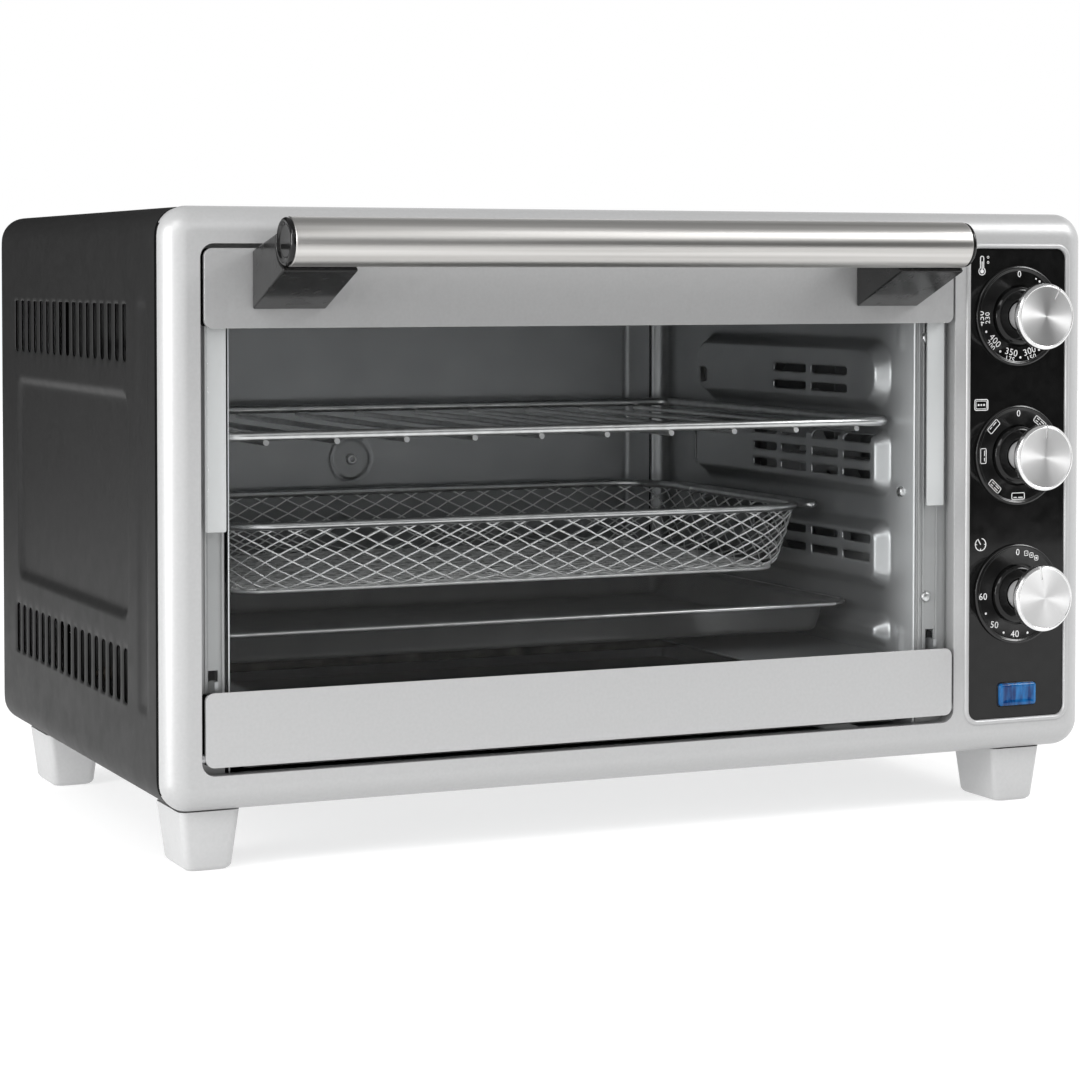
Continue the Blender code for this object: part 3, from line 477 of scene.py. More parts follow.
def spun_aluminium():
    """A turned face: the grain runs in circles, so its highlights fan out from the middle."""
    made = look("spun_face", grey(0.86), 0.34, 1.0, Anisotropic=0.85)
    shader, new, link = tools(made)
    tangent = new("ShaderNodeTangent")
    tangent.direction_type = "RADIAL"
    tangent.axis = "Y"
    link(tangent.outputs["Tangent"], shader.inputs["Tangent"])
    return vary(made, "Roughness", noise(made, 90.0, 2.0), 0.33, 0.36)


def galvanised(name, level, roughness):
    """Rolled zinc sheet: faint spangle, soft patches and fine drawing lines."""
    drawn = (1.0, 3.0, (30.0, 30.0, 700.0))
    spangle = (240.0, 1.0, (1.0, 1.0, 1.0), "ShaderNodeTexVoronoi", "Distance")
    return finish(name, (grey(level), roughness, ZINC_METALLIC),
                  ((40.0, 5.0), [level * k for k in (0.93, 0.945, 0.96)], [level * k for k in (1.04, 1.05, 1.065)]),
                  ((60.0, 5.0), roughness - 0.02, roughness + 0.03), [(drawn, 0.04, 0.04), (spangle, 0.03, 0.04)])


def painted_front_light(made, start, end):
    """Painted light: near the front of the cavity the zinc's colour is mixed towards near white and its metal share
    lowered, fading out deeper in, for light falling in through the door.
    """
    shader, new, link = tools(made)
    split = new("ShaderNodeSeparateXYZ")
    link(new("ShaderNodeTexCoord").outputs["Object"], split.inputs["Vector"])
    depth = new("ShaderNodeMapRange", From_Min=(start + ORIGIN[1]) * MM, From_Max=(end + ORIGIN[1]) * MM,
                To_Min=1.0, To_Max=0.0)
    depth.interpolation_type = "SMOOTHSTEP"
    link(split.outputs["Y"], depth.inputs["Value"])
    mix = new("ShaderNodeMix")
    mix.data_type = "RGBA"
    link(depth.outputs["Result"], mix.inputs["Factor"])
    link(shader.inputs["Base Color"].links[0].from_socket, mix.inputs["A"])
    mix.inputs["B"].default_value = (0.95, 0.96, 0.97, 1.0)
    link(mix.outputs["Result"], shader.inputs["Base Color"])
    return vary(made, "Metallic", depth.outputs["Result"], ZINC_METALLIC, 0.35, 0.0, 1.0)


def gloss_black(name, roughness, level):
    return finish(name, (grey(level), roughness), ((200.0, 3.0), grey(level * 0.8), grey(level * 1.3)),
                  ((130.0, 5.0), roughness * 0.7, roughness * 1.5), [((60.0, 2.0), 0.02, 0.3)],
                  Specular_IOR_Level=0.25, Coat_Weight=0.1, Coat_Roughness=0.04)


def satin_black(name, level, roughness, **inputs):
    return finish(name, (grey(level), roughness), ((120.0, 4.0), grey(level * 0.8), grey(level * 1.3)),
                  ((160.0, 4.0), roughness - 0.08, roughness + 0.08), [((1400.0, 3.0), 0.12, 0.04)], **inputs)


def door_glass():
    """Clear pane: light passes through it and a little is mirrored, more at a glancing angle."""
    made = look("clear_pane", (0.02, 0.022, 0.022), 0.03)
    shader, new, link = tools(made)
    # Light passes straight on here, so the way out takes the inverse index, or a slanting ray would be trapped.
    index = new("ShaderNodeMapRange", To_Min=GLASS_INDEX, To_Max=1 / GLASS_INDEX)
    link(new("ShaderNodeNewGeometry").outputs["Backfacing"], index.inputs["Value"])
    fresnel = new("ShaderNodeFresnel")
    link(index.outputs["Result"], fresnel.inputs["IOR"])
    mix = new("ShaderNodeMixShader")
    link(fresnel.outputs["Fac"], mix.inputs["Fac"])
    link(new("ShaderNodeBsdfTransparent", Color=(0.97, 0.975, 0.975, 1.0)).outputs["BSDF"], mix.inputs[1])
    link(new("ShaderNodeBsdfGlossy", Color=(0.19, 0.19, 0.19, 1.0), Roughness=0.03).outputs["BSDF"], mix.inputs[2])
    link(mix.outputs["Shader"], made.node_tree.nodes["Material Output"].inputs["Surface"])
    made.node_tree.nodes.remove(shader)
    return made


def blue_lens():
    made = look("blue_lens", (0.01, 0.14, 0.55), 0.12, 0.0, Specular_IOR_Level=0.3, Coat_Weight=0.1,
                Coat_Roughness=0.03, Emission_Strength=0.06, Emission_Color=(0.01, 0.25, 0.95, 1.0))
    tint(made, noise(made, 1.0, 3.0, (420.0, 420.0, 60.0)), (0.002, 0.012, 0.06), (0.012, 0.15, 0.38), 0.35, 0.75)
    relief(made, noise(made, 1.0, 2.0, (520.0, 520.0, 520.0)), 0.5, 0.4)
    return made


ZINC_METALLIC = 0.82
GLASS_INDEX = 1.45
SILVER = silver_paint("silver_bezel", 0.42, 0.38, 0.3)
FOOT = silver_paint("silver_foot", 0.45, 0.4, 0.2)
FLANGE = silver_paint("frame_flange", 0.40, 0.36, 0.1)
RAIL = silver_paint("silver_rail", 0.47, 0.34, 0.55)
STRIP = silver_paint("coated_strip", 0.64, 0.5, 0.0)
# The basket's weave: the chrome made lighter and half diffuse so it shows bright from every side: painted light.
WEAVE_LIT = chrome("basket_weave_painted_light", 0.94, 0.34, 0.5)
NECK = chrome("knob_neck", 0.5, 0.35, 0.3)
CHROME = chrome("chrome_wire", 0.8, 0.3)
POLISHED = chrome("polished_rim", 0.82, 0.18)
# Bright metal for the pan's rolled rim: a painted highlight along the rim.
PAN_RIM_HIGHLIGHT = chrome("pan_rim_highlight", 0.75, 0.3)
SPUN = spun_aluminium()
ZINC = galvanised("galvanised", 0.5, 0.34)
# A darker copy of the galvanised finish for the back wall and the cavity floor, deep inside the oven: painted shade.
ZINC_SHADED = galvanised("galvanised_back_painted_shade", 0.43, 0.36)
# The side walls' zinc: a darker copy of the galvanised finish as painted shade inside the cavity, with painted light
# near the front.
WALL = painted_front_light(galvanised("galvanised_wall_painted_light", 0.41, 0.34), 2.0, 48.0)
FASCIA = gloss_black("black_fascia", 0.09, 0.006)
HUB = gloss_black("black_hub", 0.07, 0.005)
BRACKET = gloss_black("smoked_bracket", 0.2, 0.009)
DIAL = satin_black("dial_black", 0.004, 0.18)
BLACK = satin_black("moulded_black", 0.018, 0.45)
# Near-black sheet for the outer faces of the cavity walls and the hoods under the rear louvres, where there is only
# shade: painted shade.
SHADE_BACKING = satin_black("painted_shade_backing", 0.02, 0.5)
# Near-black with almost no sheen: painted shadow for the gaps and hollows where it is laid.
SHADOW_GAP = satin_black("shadow_gap", 0.002, 0.8, Specular_IOR_Level=0.05)
GLASS = door_glass()
LENS = blue_lens()
CHARCOAL = finish("charcoal_casing", (grey(0.015), 0.5, 0.05), ((320.0, 4.0), grey(0.0135), grey(0.0165)),
                  ((90.0, 4.0), 0.47, 0.53), [((1500.0, 3.0), 0.12, 0.03)], Specular_IOR_Level=0.2)
# Lengthwise drawn grain along x, in several widths
BRUSHED = finish("brushed_handle", ((0.50, 0.49, 0.475), 0.36, 1.0),
                 ((1.0, 6.0, (4.0, 420.0, 420.0)), (0.42, 0.41, 0.395), (0.60, 0.59, 0.575), 0.25, 0.75),
                 ((1.0, 4.0, (3.0, 260.0, 260.0)), 0.30, 0.44),
                 [((1.0, 4.0, (6.0, 900.0, 900.0)), 0.30, 0.06)], Anisotropic=0.4)
PAN = finish("dark_pan", (grey(0.13), 0.36, 0.6), ((60.0, 6.0), grey(0.115), grey(0.15, 0.01)),
             ((90.0, 5.0), 0.34, 0.40), [((900.0, 3.0), 0.12, 0.05)])
BRASS = finish("brass_spindle", ((0.6, 0.45, 0.2), 0.33, 1.0), ((180.0, 4.0), (0.5, 0.36, 0.15), (0.68, 0.52, 0.26)),
               None, [((1.0, 2.0, (900.0, 60.0, 900.0)), 0.1, 0.05)])
SHEATH = finish("heater_sheath", ((0.12, 0.105, 0.095), 0.48, 0.85),
                ((90.0, 6.0), (0.07, 0.06, 0.055), (0.2, 0.17, 0.14)),
                ((140.0, 4.0), 0.35, 0.6), [((1200.0, 3.0), 0.15, 0.05)])
CREAM = finish("cream_plastic", ((0.72, 0.7, 0.64), 0.45), ((90.0, 4.0), (0.66, 0.64, 0.58), (0.76, 0.74, 0.68)),
               None, [((900.0, 3.0), 0.1, 0.05)])
INK = finish("dial_ink", (grey(0.72), 0.4), ((900.0, 3.0), grey(0.6), grey(0.78)), None, [((3000.0, 2.0), 0.05, 0.02)])


# ---------------------------------------------------------------- outside

def casing():
    """The wrap with its vents, its recessed field, its groove and its rolled ends."""
    (_, x), (front, back), (low, high) = span("outer_casing")
    r, arc = CASE_R, CASE_R * math.pi / 2
    foot, tall = CASE_TURN - r, high - low - 2 * r
    # The section runs from the right return, up, over and down to the left one.
    at_path = rounded_path([(x - r, low + r), (x - r, high - r), (r - x, high - r), (r - x, low + r),
                            (CASE_TURN - x, low + r)], r, (foot, tall, 2 * (x - r), tall, foot), -90.0)
    total, shift = 2 * (foot + tall + x - r) + 4 * arc, foot + arc - r - low
    bends = [start + arc * k / 6 for start in (foot, foot + arc + tall) for k in range(7)]
    pitch = (VENT_Y[1] - VENT_Y[0]) / (VENT_COUNT - 1)
    vents = [VENT_Y[0] + k * pitch for k in range(VENT_COUNT)]
    groove = GROOVE_Y[1] - GROOVE_Y[0]
    columns = about(vents, -VENT_HALF - 0.9, -VENT_HALF, 0.0, VENT_HALF, VENT_HALF + 0.9)
    columns += about([front], 0.4, 1.0, ROLL) + about([back], -ROLL, -1.0, -0.4)
    columns += about(RECESS_Y[:1], 0.0, 2.2) + about(RECESS_Y[1:], -2.2, 0.0)
    columns += [GROOVE_Y[0] + groove * k / 8 for k in range(9)]
    ends = [z for row in VENT_ROWS for z in row]
    heights = about(ends[::2], -1.2, 0.0, 1.3, 3.0) + about(ends[1::2], -3.0, -1.3, 0.0, 1.2)
    heights += about((*RECESS_Z, *GROOVE_Z), -5.0, -3.4, -1.7, 0.0, 1.7, 3.4, 5.0)
    rows = [z + shift for z in heights] + bends
    rows += [total - s for s in rows]

    def height(s):
        return min(s, total - s) - shift

    def depth(z, y):
        pushed = 1.9 * field(y, z, RECESS_Y, RECESS_Z, 9.0, 4.0)
        across = (y - middle(GROOVE_Y)) / (groove / 2)
        if abs(across) < 1:
            inside = ease(z, GROOVE_Z[0], GROOVE_Z[0] + 6) * (1 - ease(z, GROOVE_Z[1] - 6, GROOVE_Z[1]))
            pushed += 0.9 * math.sqrt(1 - across * across) * inside
        if any(z_low - 0.1 <= z <= z_high + 0.1 for z_low, z_high in VENT_ROWS):
            pushed += 0.5 * (min(abs(y - v) for v in vents) <= VENT_HALF + 0.05)
        return pushed

    def at(s, y):
        z = height(s)
        flat, out = at_path(s)
        pushed = 1.3 * (2 - ease(y, front - ROLL, front + ROLL) - ease(-y, -back - ROLL, -back + ROLL))
        if CASE_R < z < high - CASE_R and s < total:
            pushed += depth(z, y)
            vent = min(vents, key=lambda v: abs(v - y))
            if abs(abs(y - vent) - VENT_HALF) < 0.05 and any(abs(z - end) < 0.05 for end in ends):
                y = vent + (y - vent) * 0.5
        return (flat[0] - out[0] * pushed, y, flat[1] - out[1] * pushed)

    def is_open(s, y):
        inside = any(z_low < height(s) < z_high for z_low, z_high in VENT_ROWS)
        return inside and min(abs(y - v) for v in vents) < VENT_HALF

    centre_z = ORIGIN[2] + middle((low, high))
    obj, gauge = pressed("casing_shell", grid_lines(0.0, total, 9.0, rows), grid_lines(front, back, 6.0, columns), at,
                         lambda p: (p.x, 0.0, p.z - centre_z), is_open, CASE_SHEET)
    # Painted shade: the sheet's inner face, its cut edges round the vents and its rolled front edge are near-black,
    # for the shadow inside the vents and in the gap behind the bezel.
    gauge.material_offset = gauge.material_offset_rim = 1
    dress(obj, [CHARCOAL, SHADOW_GAP], "charcoal_paint", "outer_casing", turn=50,
          paint=lambda centre, normal: centre[1] < front + ROLL)


def rear():
    """The back cover with its raised field and hooded louvres, and the gland."""
    (left, right), (_, back), (low, high) = span("rear_cover")
    margins = (1.5, 4, 7, 10, 14)
    slots = [high - 64.0 + 9.0 * k for k in range(5)]
    runs = [(x - 35.0, x + 35.0) for x in (-120.0, 0.0, 120.0)]
    columns = about([x for run in runs for x in run], -1.2, 0.0, 1.2)
    columns += about([left], *margins) + about([right], *[-m for m in margins])
    rows = about(slots, -2.6, -LOUVRE_HALF, 0.0, LOUVRE_HALF, 2.6)
    rows += about([low], *margins) + about([high], *[-m for m in margins])

    def louvre(x, z, slack):
        return any(a - 2 * slack <= x <= b + 2 * slack for a, b in runs) and any(
            abs(z - s) <= LOUVRE_HALF + slack for s in slots)

    def to_corner(z, x):
        dx = abs(x - middle((left, right))) - (right - left) / 2 + CASE_R
        dz = abs(z - middle((low, high))) - (high - low) / 2 + CASE_R
        return dx, dz, math.hypot(dx, dz) - CASE_R if dx > 0 and dz > 0 else -1.0

    def at(z, x):
        raised = 1.6 * field(x, z, (left + 9, right - 9), (low + 9, high - 9), 10.0, 5.0)
        dx, dz, over = to_corner(z, x)
        if over > 0:
            share = 1 - CASE_R / (over + CASE_R)
            x -= math.copysign(dx * share, x - middle((left, right)))
            z -= math.copysign(dz * share, z - middle((low, high)))
        return (x, back + raised - 0.5 * louvre(x, z, 0.05), z)

    obj, _ = pressed("rear_panel", grid_lines(low, high, 9.0, rows), grid_lines(left, right, 9.0, columns), at,
                     lambda p: (0.0, 1.0, 0.0), lambda z, x: louvre(x, z, 0.0) or to_corner(z, x)[2] > 0.8, CASE_SHEET)
    dress(obj, ZINC, "galvanised_steel", "rear_cover", turn=50)
    hoods = Shape()
    for a, b in runs:
        for z in slots:
            section = soften([(back - 0.3, z + 2.1), (back - 1.6, z + 1.9), (back - 4.6, z - 2.6)], 1.0, 3)
            section += [(y - 0.35, h - 0.35) for y, h in section[::-1]]
            hoods.prism("x", section, a - 0.6, b + 0.6)
    # The hoods under the louvres are near-black: painted shade in the openings.
    add("louvre_hoods", hoods, SHADE_BACKING, "galvanised_steel", turn=40)
    x, (near, far), z = span("cord_gland")
    radius = (x[1] - x[0]) / 2
    profile = soften([(near, 3.6), (near, 6.6), (back - 0.2, 6.6), (back + 0.4, radius), (far - 2.6, radius),
                      (far, 7.0), (far, 4.2), (far - 3.0, 3.6)], 0.6, 3)
    add("gland_body", Shape().lathe("y", (middle(x), middle(z)), profile, 48, True), BLACK, "black_plastic",
        "cord_gland", turn=40)


def feet():
    """Moulded feet that narrow towards the floor, with a rounded sole."""
    for node in ("foot_front_left", "foot_front_right", "foot_rear_left", "foot_rear_right"):
        x, y, (low, high) = span(node)
        layers = []
        for share, inset in ((0.0, 2.4), (0.012, 1.3), (0.04, 0.5), (0.085, 0.0), (0.5, 0.0), (1.0, 0.0)):
            dx, dy = inset + 3.2 * (1 - share), inset + 2.0 * (1 - share)
            outline = rounded((x[0] + dx, x[1] - dx), (y[0] + dy, y[1] - dy), 3.6, 6)
            layers.append((low + share * (high - low), outline))
        add(node + "_moulding", Shape().stack("z", layers), FOOT, "silver_plastic", node, turn=30)


def bezel():
    """The moulding with its rolled edge, its openings, and a step at its back painted near-black, a painted shadow for
    the gap before the casing.
    """
    x, y, z = span("front_bezel")
    roll, steps, corner, step_in = 11.0, 12, 13.0, 0.35
    step_y = y[0] + 9.2
    side = math.acos(1 - (step_y - y[0]) / roll)
    layers = []
    for k in range(steps + 1):
        angle = side * k / steps
        inset = roll * (1 - math.sin(angle))
        layers.append((y[0] + roll * (1 - math.cos(angle)), rounded(x, z, corner - inset, 10, inset)))
    inner = rounded(x, z, corner - step_in, 10, step_in)
    obj = mesh_object("bezel_moulding", Shape().stack("y", layers + [(step_y, inner), (y[1], inner)]))
    (door_x0, door_x1), _, (_, door_top) = span("door_top_rail")
    door_low = span("door_bottom_rail")[2][0]
    panel_x, _, panel_z = span("control_panel")
    for outline, start in ((rounded((door_x0 - 1.5, door_x1 + 1.7), (door_low - 3.7, door_top + 2.0), 6.0), -5.0),
                           (rounded(panel_x, panel_z, 5.0, 8, -0.3), -5.0), (rounded(x, z, 7.0, 6, 5.0), 7.2)):
        cut(obj, Shape().prism("y", outline, start, 30.0))

    # Painted shade: the step's side faces at the back of the outline are near-black, for the shadow in the gap before
    # the casing.
    def paint(centre, normal):
        near = min(centre[0] - x[0], x[1] - centre[0], centre[2] - z[0], z[1] - centre[2]) < 2.2
        return near and centre[1] > step_y - 0.05 and abs(normal.y) < 0.5

    dress(obj, [SILVER, SHADOW_GAP], "silver_plastic", "front_bezel", edge=0.6, segments=3, turn=32, paint=paint)
    add("panel_bead", Shape().wire("y", rounded(panel_x, panel_z, 6.0, 10, -1.3), 0.35, 1.25, True, 16), SILVER,
        "silver_plastic", turn=60)


# ---------------------------------------------------------------- control panel

def print_text(shape, text, size, x, y, z, tilt):
    """Raised printing of a number, turned clockwise by tilt degrees, facing the front."""
    curve = set_all(bpy.data.curves.new("glyphs", "FONT"), body=text, size=size, align_x="CENTER", align_y="CENTER",
                    extrude=0.06, space_character=1.08)
    obj = bpy.data.objects.new("glyphs", curve)
    bpy.context.scene.collection.objects.link(obj)
    bpy.context.view_layer.update()
    mesh = bpy.data.meshes.new_from_object(obj.evaluated_get(bpy.context.evaluated_depsgraph_get()))
    spin = Matrix.Rotation(math.radians(-tilt), 3, "Z")
    ring = shape.ring([(x + p.x, y - p.z, z + p.y) for p in (spin @ v.co for v in mesh.vertices)])
    shape.faces += [tuple(ring[v] for v in face.vertices) for face in mesh.polygons]
    bpy.data.objects.remove(obj)
    bpy.data.curves.remove(curve)
    bpy.data.meshes.remove(mesh)


def dot(shape, at, y, radius):
    shape.lathe("y", at, [(y + 0.05, radius), (y - 0.06, radius)], 16)


def dial_marks(name, centre, y):
    """White numbers, dots and small symbols round one dial."""
    shape = Shape()
    for text, size, angle, radius, tilt in [("0", 4.2, 0.0, PRINT_R, 0.0), *NUMBERS[name]]:
        a, b = clock(centre, radius, angle)
        print_text(shape, text, size, a, y, b, tilt)
    if name == "temperature":
        for step in range(3):
            dot(shape, clock(centre, 19.8, 28.0 + 7.0 * step), y, 0.42 + 0.14 * step)
    elif name == "timer":
        for angle, dot_r in ((14.0, 0.25), (23.0, 0.375), (32.0, 0.5)):
            a, b = clock(centre, PRINT_R, angle)
            shape.wire("y", rounded((a - 0.95, a + 0.95), (b - 1.1, b + 1.1), 0.4, 3), y, 0.17)
            dot(shape, (a, b), y, dot_r)
    else:
        # A box for each mode, with the heating elements that it uses drawn as broken bars
        for angle, turn, bars in ((38.0, 38.0, (0.62, -0.62)), (315.0, -45.0, (0.62,)), (270.0, -90.0, (-0.62,)),
                                  (222.0, 42.0, (0.62, -0.62)), (180.0, 0.0, (-0.62,))):
            at = clock(centre, 19.4, angle)
            shape.wire("y", turned(rounded((-3.5, 3.5), (-1.5, 1.5), 0.6, 3), at, turn), y, 0.2)
            for side in bars:
                for ends in ((-2.5, -0.85), (0.0, 2.5)):
                    shape.wire("y", turned([(end, side) for end in ends], at, turn), y, 0.22, False)
    for angle in DOTS[name]:
        dot(shape, clock(centre, PRINT_R, angle), y, 0.55)
    add(name + "_dial_marks", shape, INK, "cream_plastic", turn=30)


def symbols(x, y, heights):
    """A thermometer, a mode box and a clock, drawn in white beside their dials."""
    shape = Shape()
    z = heights[0]
    bulb = [clock((x, z - 3.0), 1.75, a) for a in range(30, 331, 20)]
    top = [clock((x, z + 3.2), 0.88, a) for a in range(-90, 91, 30)]
    shape.wire("y", bulb + top, y, 0.24)
    shape.wire("y", [(x, z - 3.0), (x, z + 1.6)], y, 0.26, False)
    dot(shape, (x, z - 3.0), y, 0.95)
    for offset in (3.6, 1.2):
        shape.wire("y", [clock((x + 3.3, z + offset), 0.5, 90 - 36 * k) for k in range(10)], y, 0.14)
    z = heights[1]
    for half_x, half_z, corner, width in ((3.6, 2.5, 0.8, 0.24), (2.9, 1.8, 0.5, 0.14)):
        shape.wire("y", rounded((x - half_x, x + half_x), (z - half_z, z + half_z), corner, 4), y, width)
    for k in (-1, 0, 1):
        dot(shape, (x + 1.5 * k, z), y, 0.48)
    z = heights[2]
    for points in ([clock((x, z), 2.9, a) for a in range(12, 331, 12)], [(x, z), (x - 1.5, z + 2.6)]):
        shape.wire("y", points, y, 0.24, False)
    for a in (90, 180, 270):
        shape.wire("y", [clock((x, z), r, a) for r in (1.9, 2.7)], y, 0.18, False)
    add("panel_symbols", shape, INK, "cream_plastic", turn=30)


def control_panel():
    x, y, z = span("control_panel")
    lens_x, (lens_front, lens_back), lens_z = span("indicator_lens")
    obj = mesh_object("fascia", Shape().prism("y", rounded(x, z, 4.7, 10), *y))
    cut(obj, Shape().prism("y", rounded(lens_x, lens_z, 1.6, 6, -0.3), -5.0, 10.0))
    dress(obj, FASCIA, "black_gloss", "control_panel", edge=0.25, turn=30)
    layers = [(lens_back, 0.0)] + [(lens_front + d, inset) for d, inset in (
        (1.2, 0.0), (0.5, 0.25), (0.12, 0.8), (0.0, 1.6), (0.25, 2.2), (0.3, 3.0))]
    lens = Shape().stack("y", [(at, rounded(lens_x, lens_z, max(1.6 - d, 0.5), 6, d)) for at, d in layers])
    add("lamp_lens", lens, LENS, "blue_lens", "indicator_lens", turn=50)
    add("lamp_bead", Shape().wire("y", rounded(lens_x, lens_z, 1.8, 6, -0.1), y[0] - 0.1, 0.3, True, 8), FASCIA,
        "black_gloss", turn=60)
    heights = []
    for name, pointer in KNOBS:
        knob_x, _, knob_z = span(name + "_knob_cap")
        heights.append(middle(knob_z) + 24.0)
        knob(name, (middle(knob_x), middle(knob_z)), pointer)
    symbols(x[0] + 6.4, y[0] - 0.05, heights)


def knob(name, centre, pointer):
    """A printed dial, a low gloss hub, and a cap with a spun face on a silver neck."""
    boxes = [span(name + part) for part in ("_dial_ring", "_knob_skirt", "_knob_cap")]
    (outer, (ring0, ring1)), (hub, (hub_front, hub_back)), (cap, (face, neck_end)) = [
        ((x[1] - x[0]) / 2, y) for x, y, _ in boxes]
    dial = ring0 + 0.75
    profile = soften([(ring1, hub + 0.9), (ring1, outer), (ring0 + 0.5, outer), (ring0, outer - 0.9),
                      (ring0 + 0.25, outer - 1.5), (dial, outer - 2.1), (dial, hub + 0.9)],
                     [0.1, 0.3, 0.5, 0.4, 0.4], 3)
    add(name + "_dial_face", Shape().lathe("y", centre, profile, 96, True), DIAL, "black_plastic",
        name + "_dial_ring", turn=40)
    dial_marks(name, centre, dial)
    front = hub_front + 6.2
    profile = soften([(hub_back, 4.0), (hub_back, hub), (front + 1.3, hub), (front, hub - 1.4), (front, 8.0),
                      (front + 1.2, 7.2), (front + 1.2, 4.0)], [0.1, 0.4, 0.8, 0.4, 0.2], 5)
    add(name + "_hub", Shape().lathe("y", centre, profile, 96, True), HUB, "black_gloss", name + "_knob_skirt",
        turn=40)
    profile = [(front + 1.0, 4.0), (front + 1.0, 6.8), (neck_end - 1.0, 6.4), (face + 7.2, 6.2),
               (face + 5.2, cap - 2.2), (face + 3.9, cap), (face + 0.9, cap), (face, cap - 1.15),
               (face + 0.22, cap - 1.5), (face + 0.22, 0.02)]
    profile = soften(profile, [0.3, 1.2, 1.6, 1.0, 0.5, 0.3, 0.15, 0.1], 4)
    body = mesh_object(name + "_cap", Shape().lathe("y", centre, profile, 128))
    mark = turned(oblong((-0.42, 0.42), (cap - 6.2, cap + 2.0)), centre, pointer)
    cut(body, Shape().prism("y", mark, face - 2.0, face + 1.0))

    def paint(at, normal):
        spun = math.dist((at[0], at[2]), centre) < cap - 1.3 and normal.y < -0.9 and at[1] < face + 0.6
        return 1 if spun else 2 if at[1] > face + 4.6 else 0

    dress(body, [POLISHED, SPUN, NECK], "spun_aluminium", name + "_knob_cap", turn=30, paint=paint)


# ---------------------------------------------------------------- door

def rail(node, cut_z):
    """A door rail: a skin over a hollow, its rim behind the lip painted near-black, a painted shadow in the gap round
    the door.
    """
    x, y, z = span(node)
    lip = y[0] + 2.2
    obj = mesh_object(node + "_skin", Shape().stack("y", [(at, rounded(x, z, 3.6)) for at in (y[0], lip, y[1])]))
    cut(obj, Shape().box((x[0] + RAIL_SHEET, x[1] - RAIL_SHEET), (y[0] + RAIL_SHEET, y[1] + 5.0), cut_z))
    # Painted shade: the rim's sides behind the lip are near-black, for the shadow in the gap round the door.
    dress(obj, [RAIL, SHADOW_GAP], "satin_silver", node, edge=0.9, segments=3, turn=32,
          paint=lambda centre, normal: abs(normal.y) < 0.5 and centre[1] > lip)


def door():
    low, high = span("door_top_rail")[2]
    rail("door_top_rail", (low - 2.0, high - RAIL_SHEET))
    low, high = span("door_bottom_rail")[2]
    rail("door_bottom_rail", (low + RAIL_SHEET, high + 2.0))
    add("door_pane", Shape().box(*span("door_glass")), GLASS, "door_glass", "door_glass", edge=0.35)
    for node in ("glass_strip_left", "glass_strip_right"):
        x, y, z = span(node)
        add(node + "_band", Shape().prism("y", rounded(x, z, 0.8, 4), *y), STRIP, "satin_silver", node, edge=0.2)


def handle():
    """A drawn tube with a stepped cap in each end, on two brackets whose saddles follow it."""
    (x0, x1), y, z = span("handle_tube")
    centre, radius = (middle(y), middle(z)), (z[1] - z[0]) / 2
    profile = soften([(x0, radius - 1.0), (x0, radius), (x1, radius), (x1, radius - 1.0)], 0.9, 5)
    start, end = profile[6], profile[7]
    stations = profile[:7] + [(start[0] + (end[0] - start[0]) * k / 12, start[1]) for k in range(1, 12)] + profile[7:]
    add("grip_tube", Shape().lathe("x", centre, stations, 96, True), BRUSHED, "brushed_steel", "handle_tube", turn=40)
    reach = radius + 0.3
    saddle = [clock(centre, reach, a) for a in range(70, 171, 10)]
    for side, label in ((1, "left"), (-1, "right")):
        start = span("handle_end_cap_" + label)[0][0 if side == 1 else 1]
        profile = [(0.9, 0.02), (0.9, 6.6), (0.15, 8.2), (0.0, 9.2), (0.9, radius - 0.25), (1.95, radius - 0.25),
                   (1.95, radius - 1.4), (8.0, radius - 1.4), (8.0, 0.02)]
        profile = soften([(start + side * a, r) for a, r in profile], [0.8, 1.0, 0.6, 0.5, 0.1, 0.1, 0.2], 4)
        add("grip_cap_" + label, Shape().lathe("x", centre, profile, 72), HUB, "black_gloss",
            "handle_end_cap_" + label, turn=40)
        x, (_, back), (low, _) = span("handle_bracket_" + label)
        outline = [(back, low), (back, span("door_top_rail")[2][1] - 0.9), *saddle]
        outline.append((centre[0] + 1.2, centre[1] - reach - 1.4))
        add("grip_bracket_" + label, Shape().prism("x", outline, *x), BRACKET, "black_gloss",
            "handle_bracket_" + label, edge=0.8, segments=3, turn=25)


# ---------------------------------------------------------------- cavity

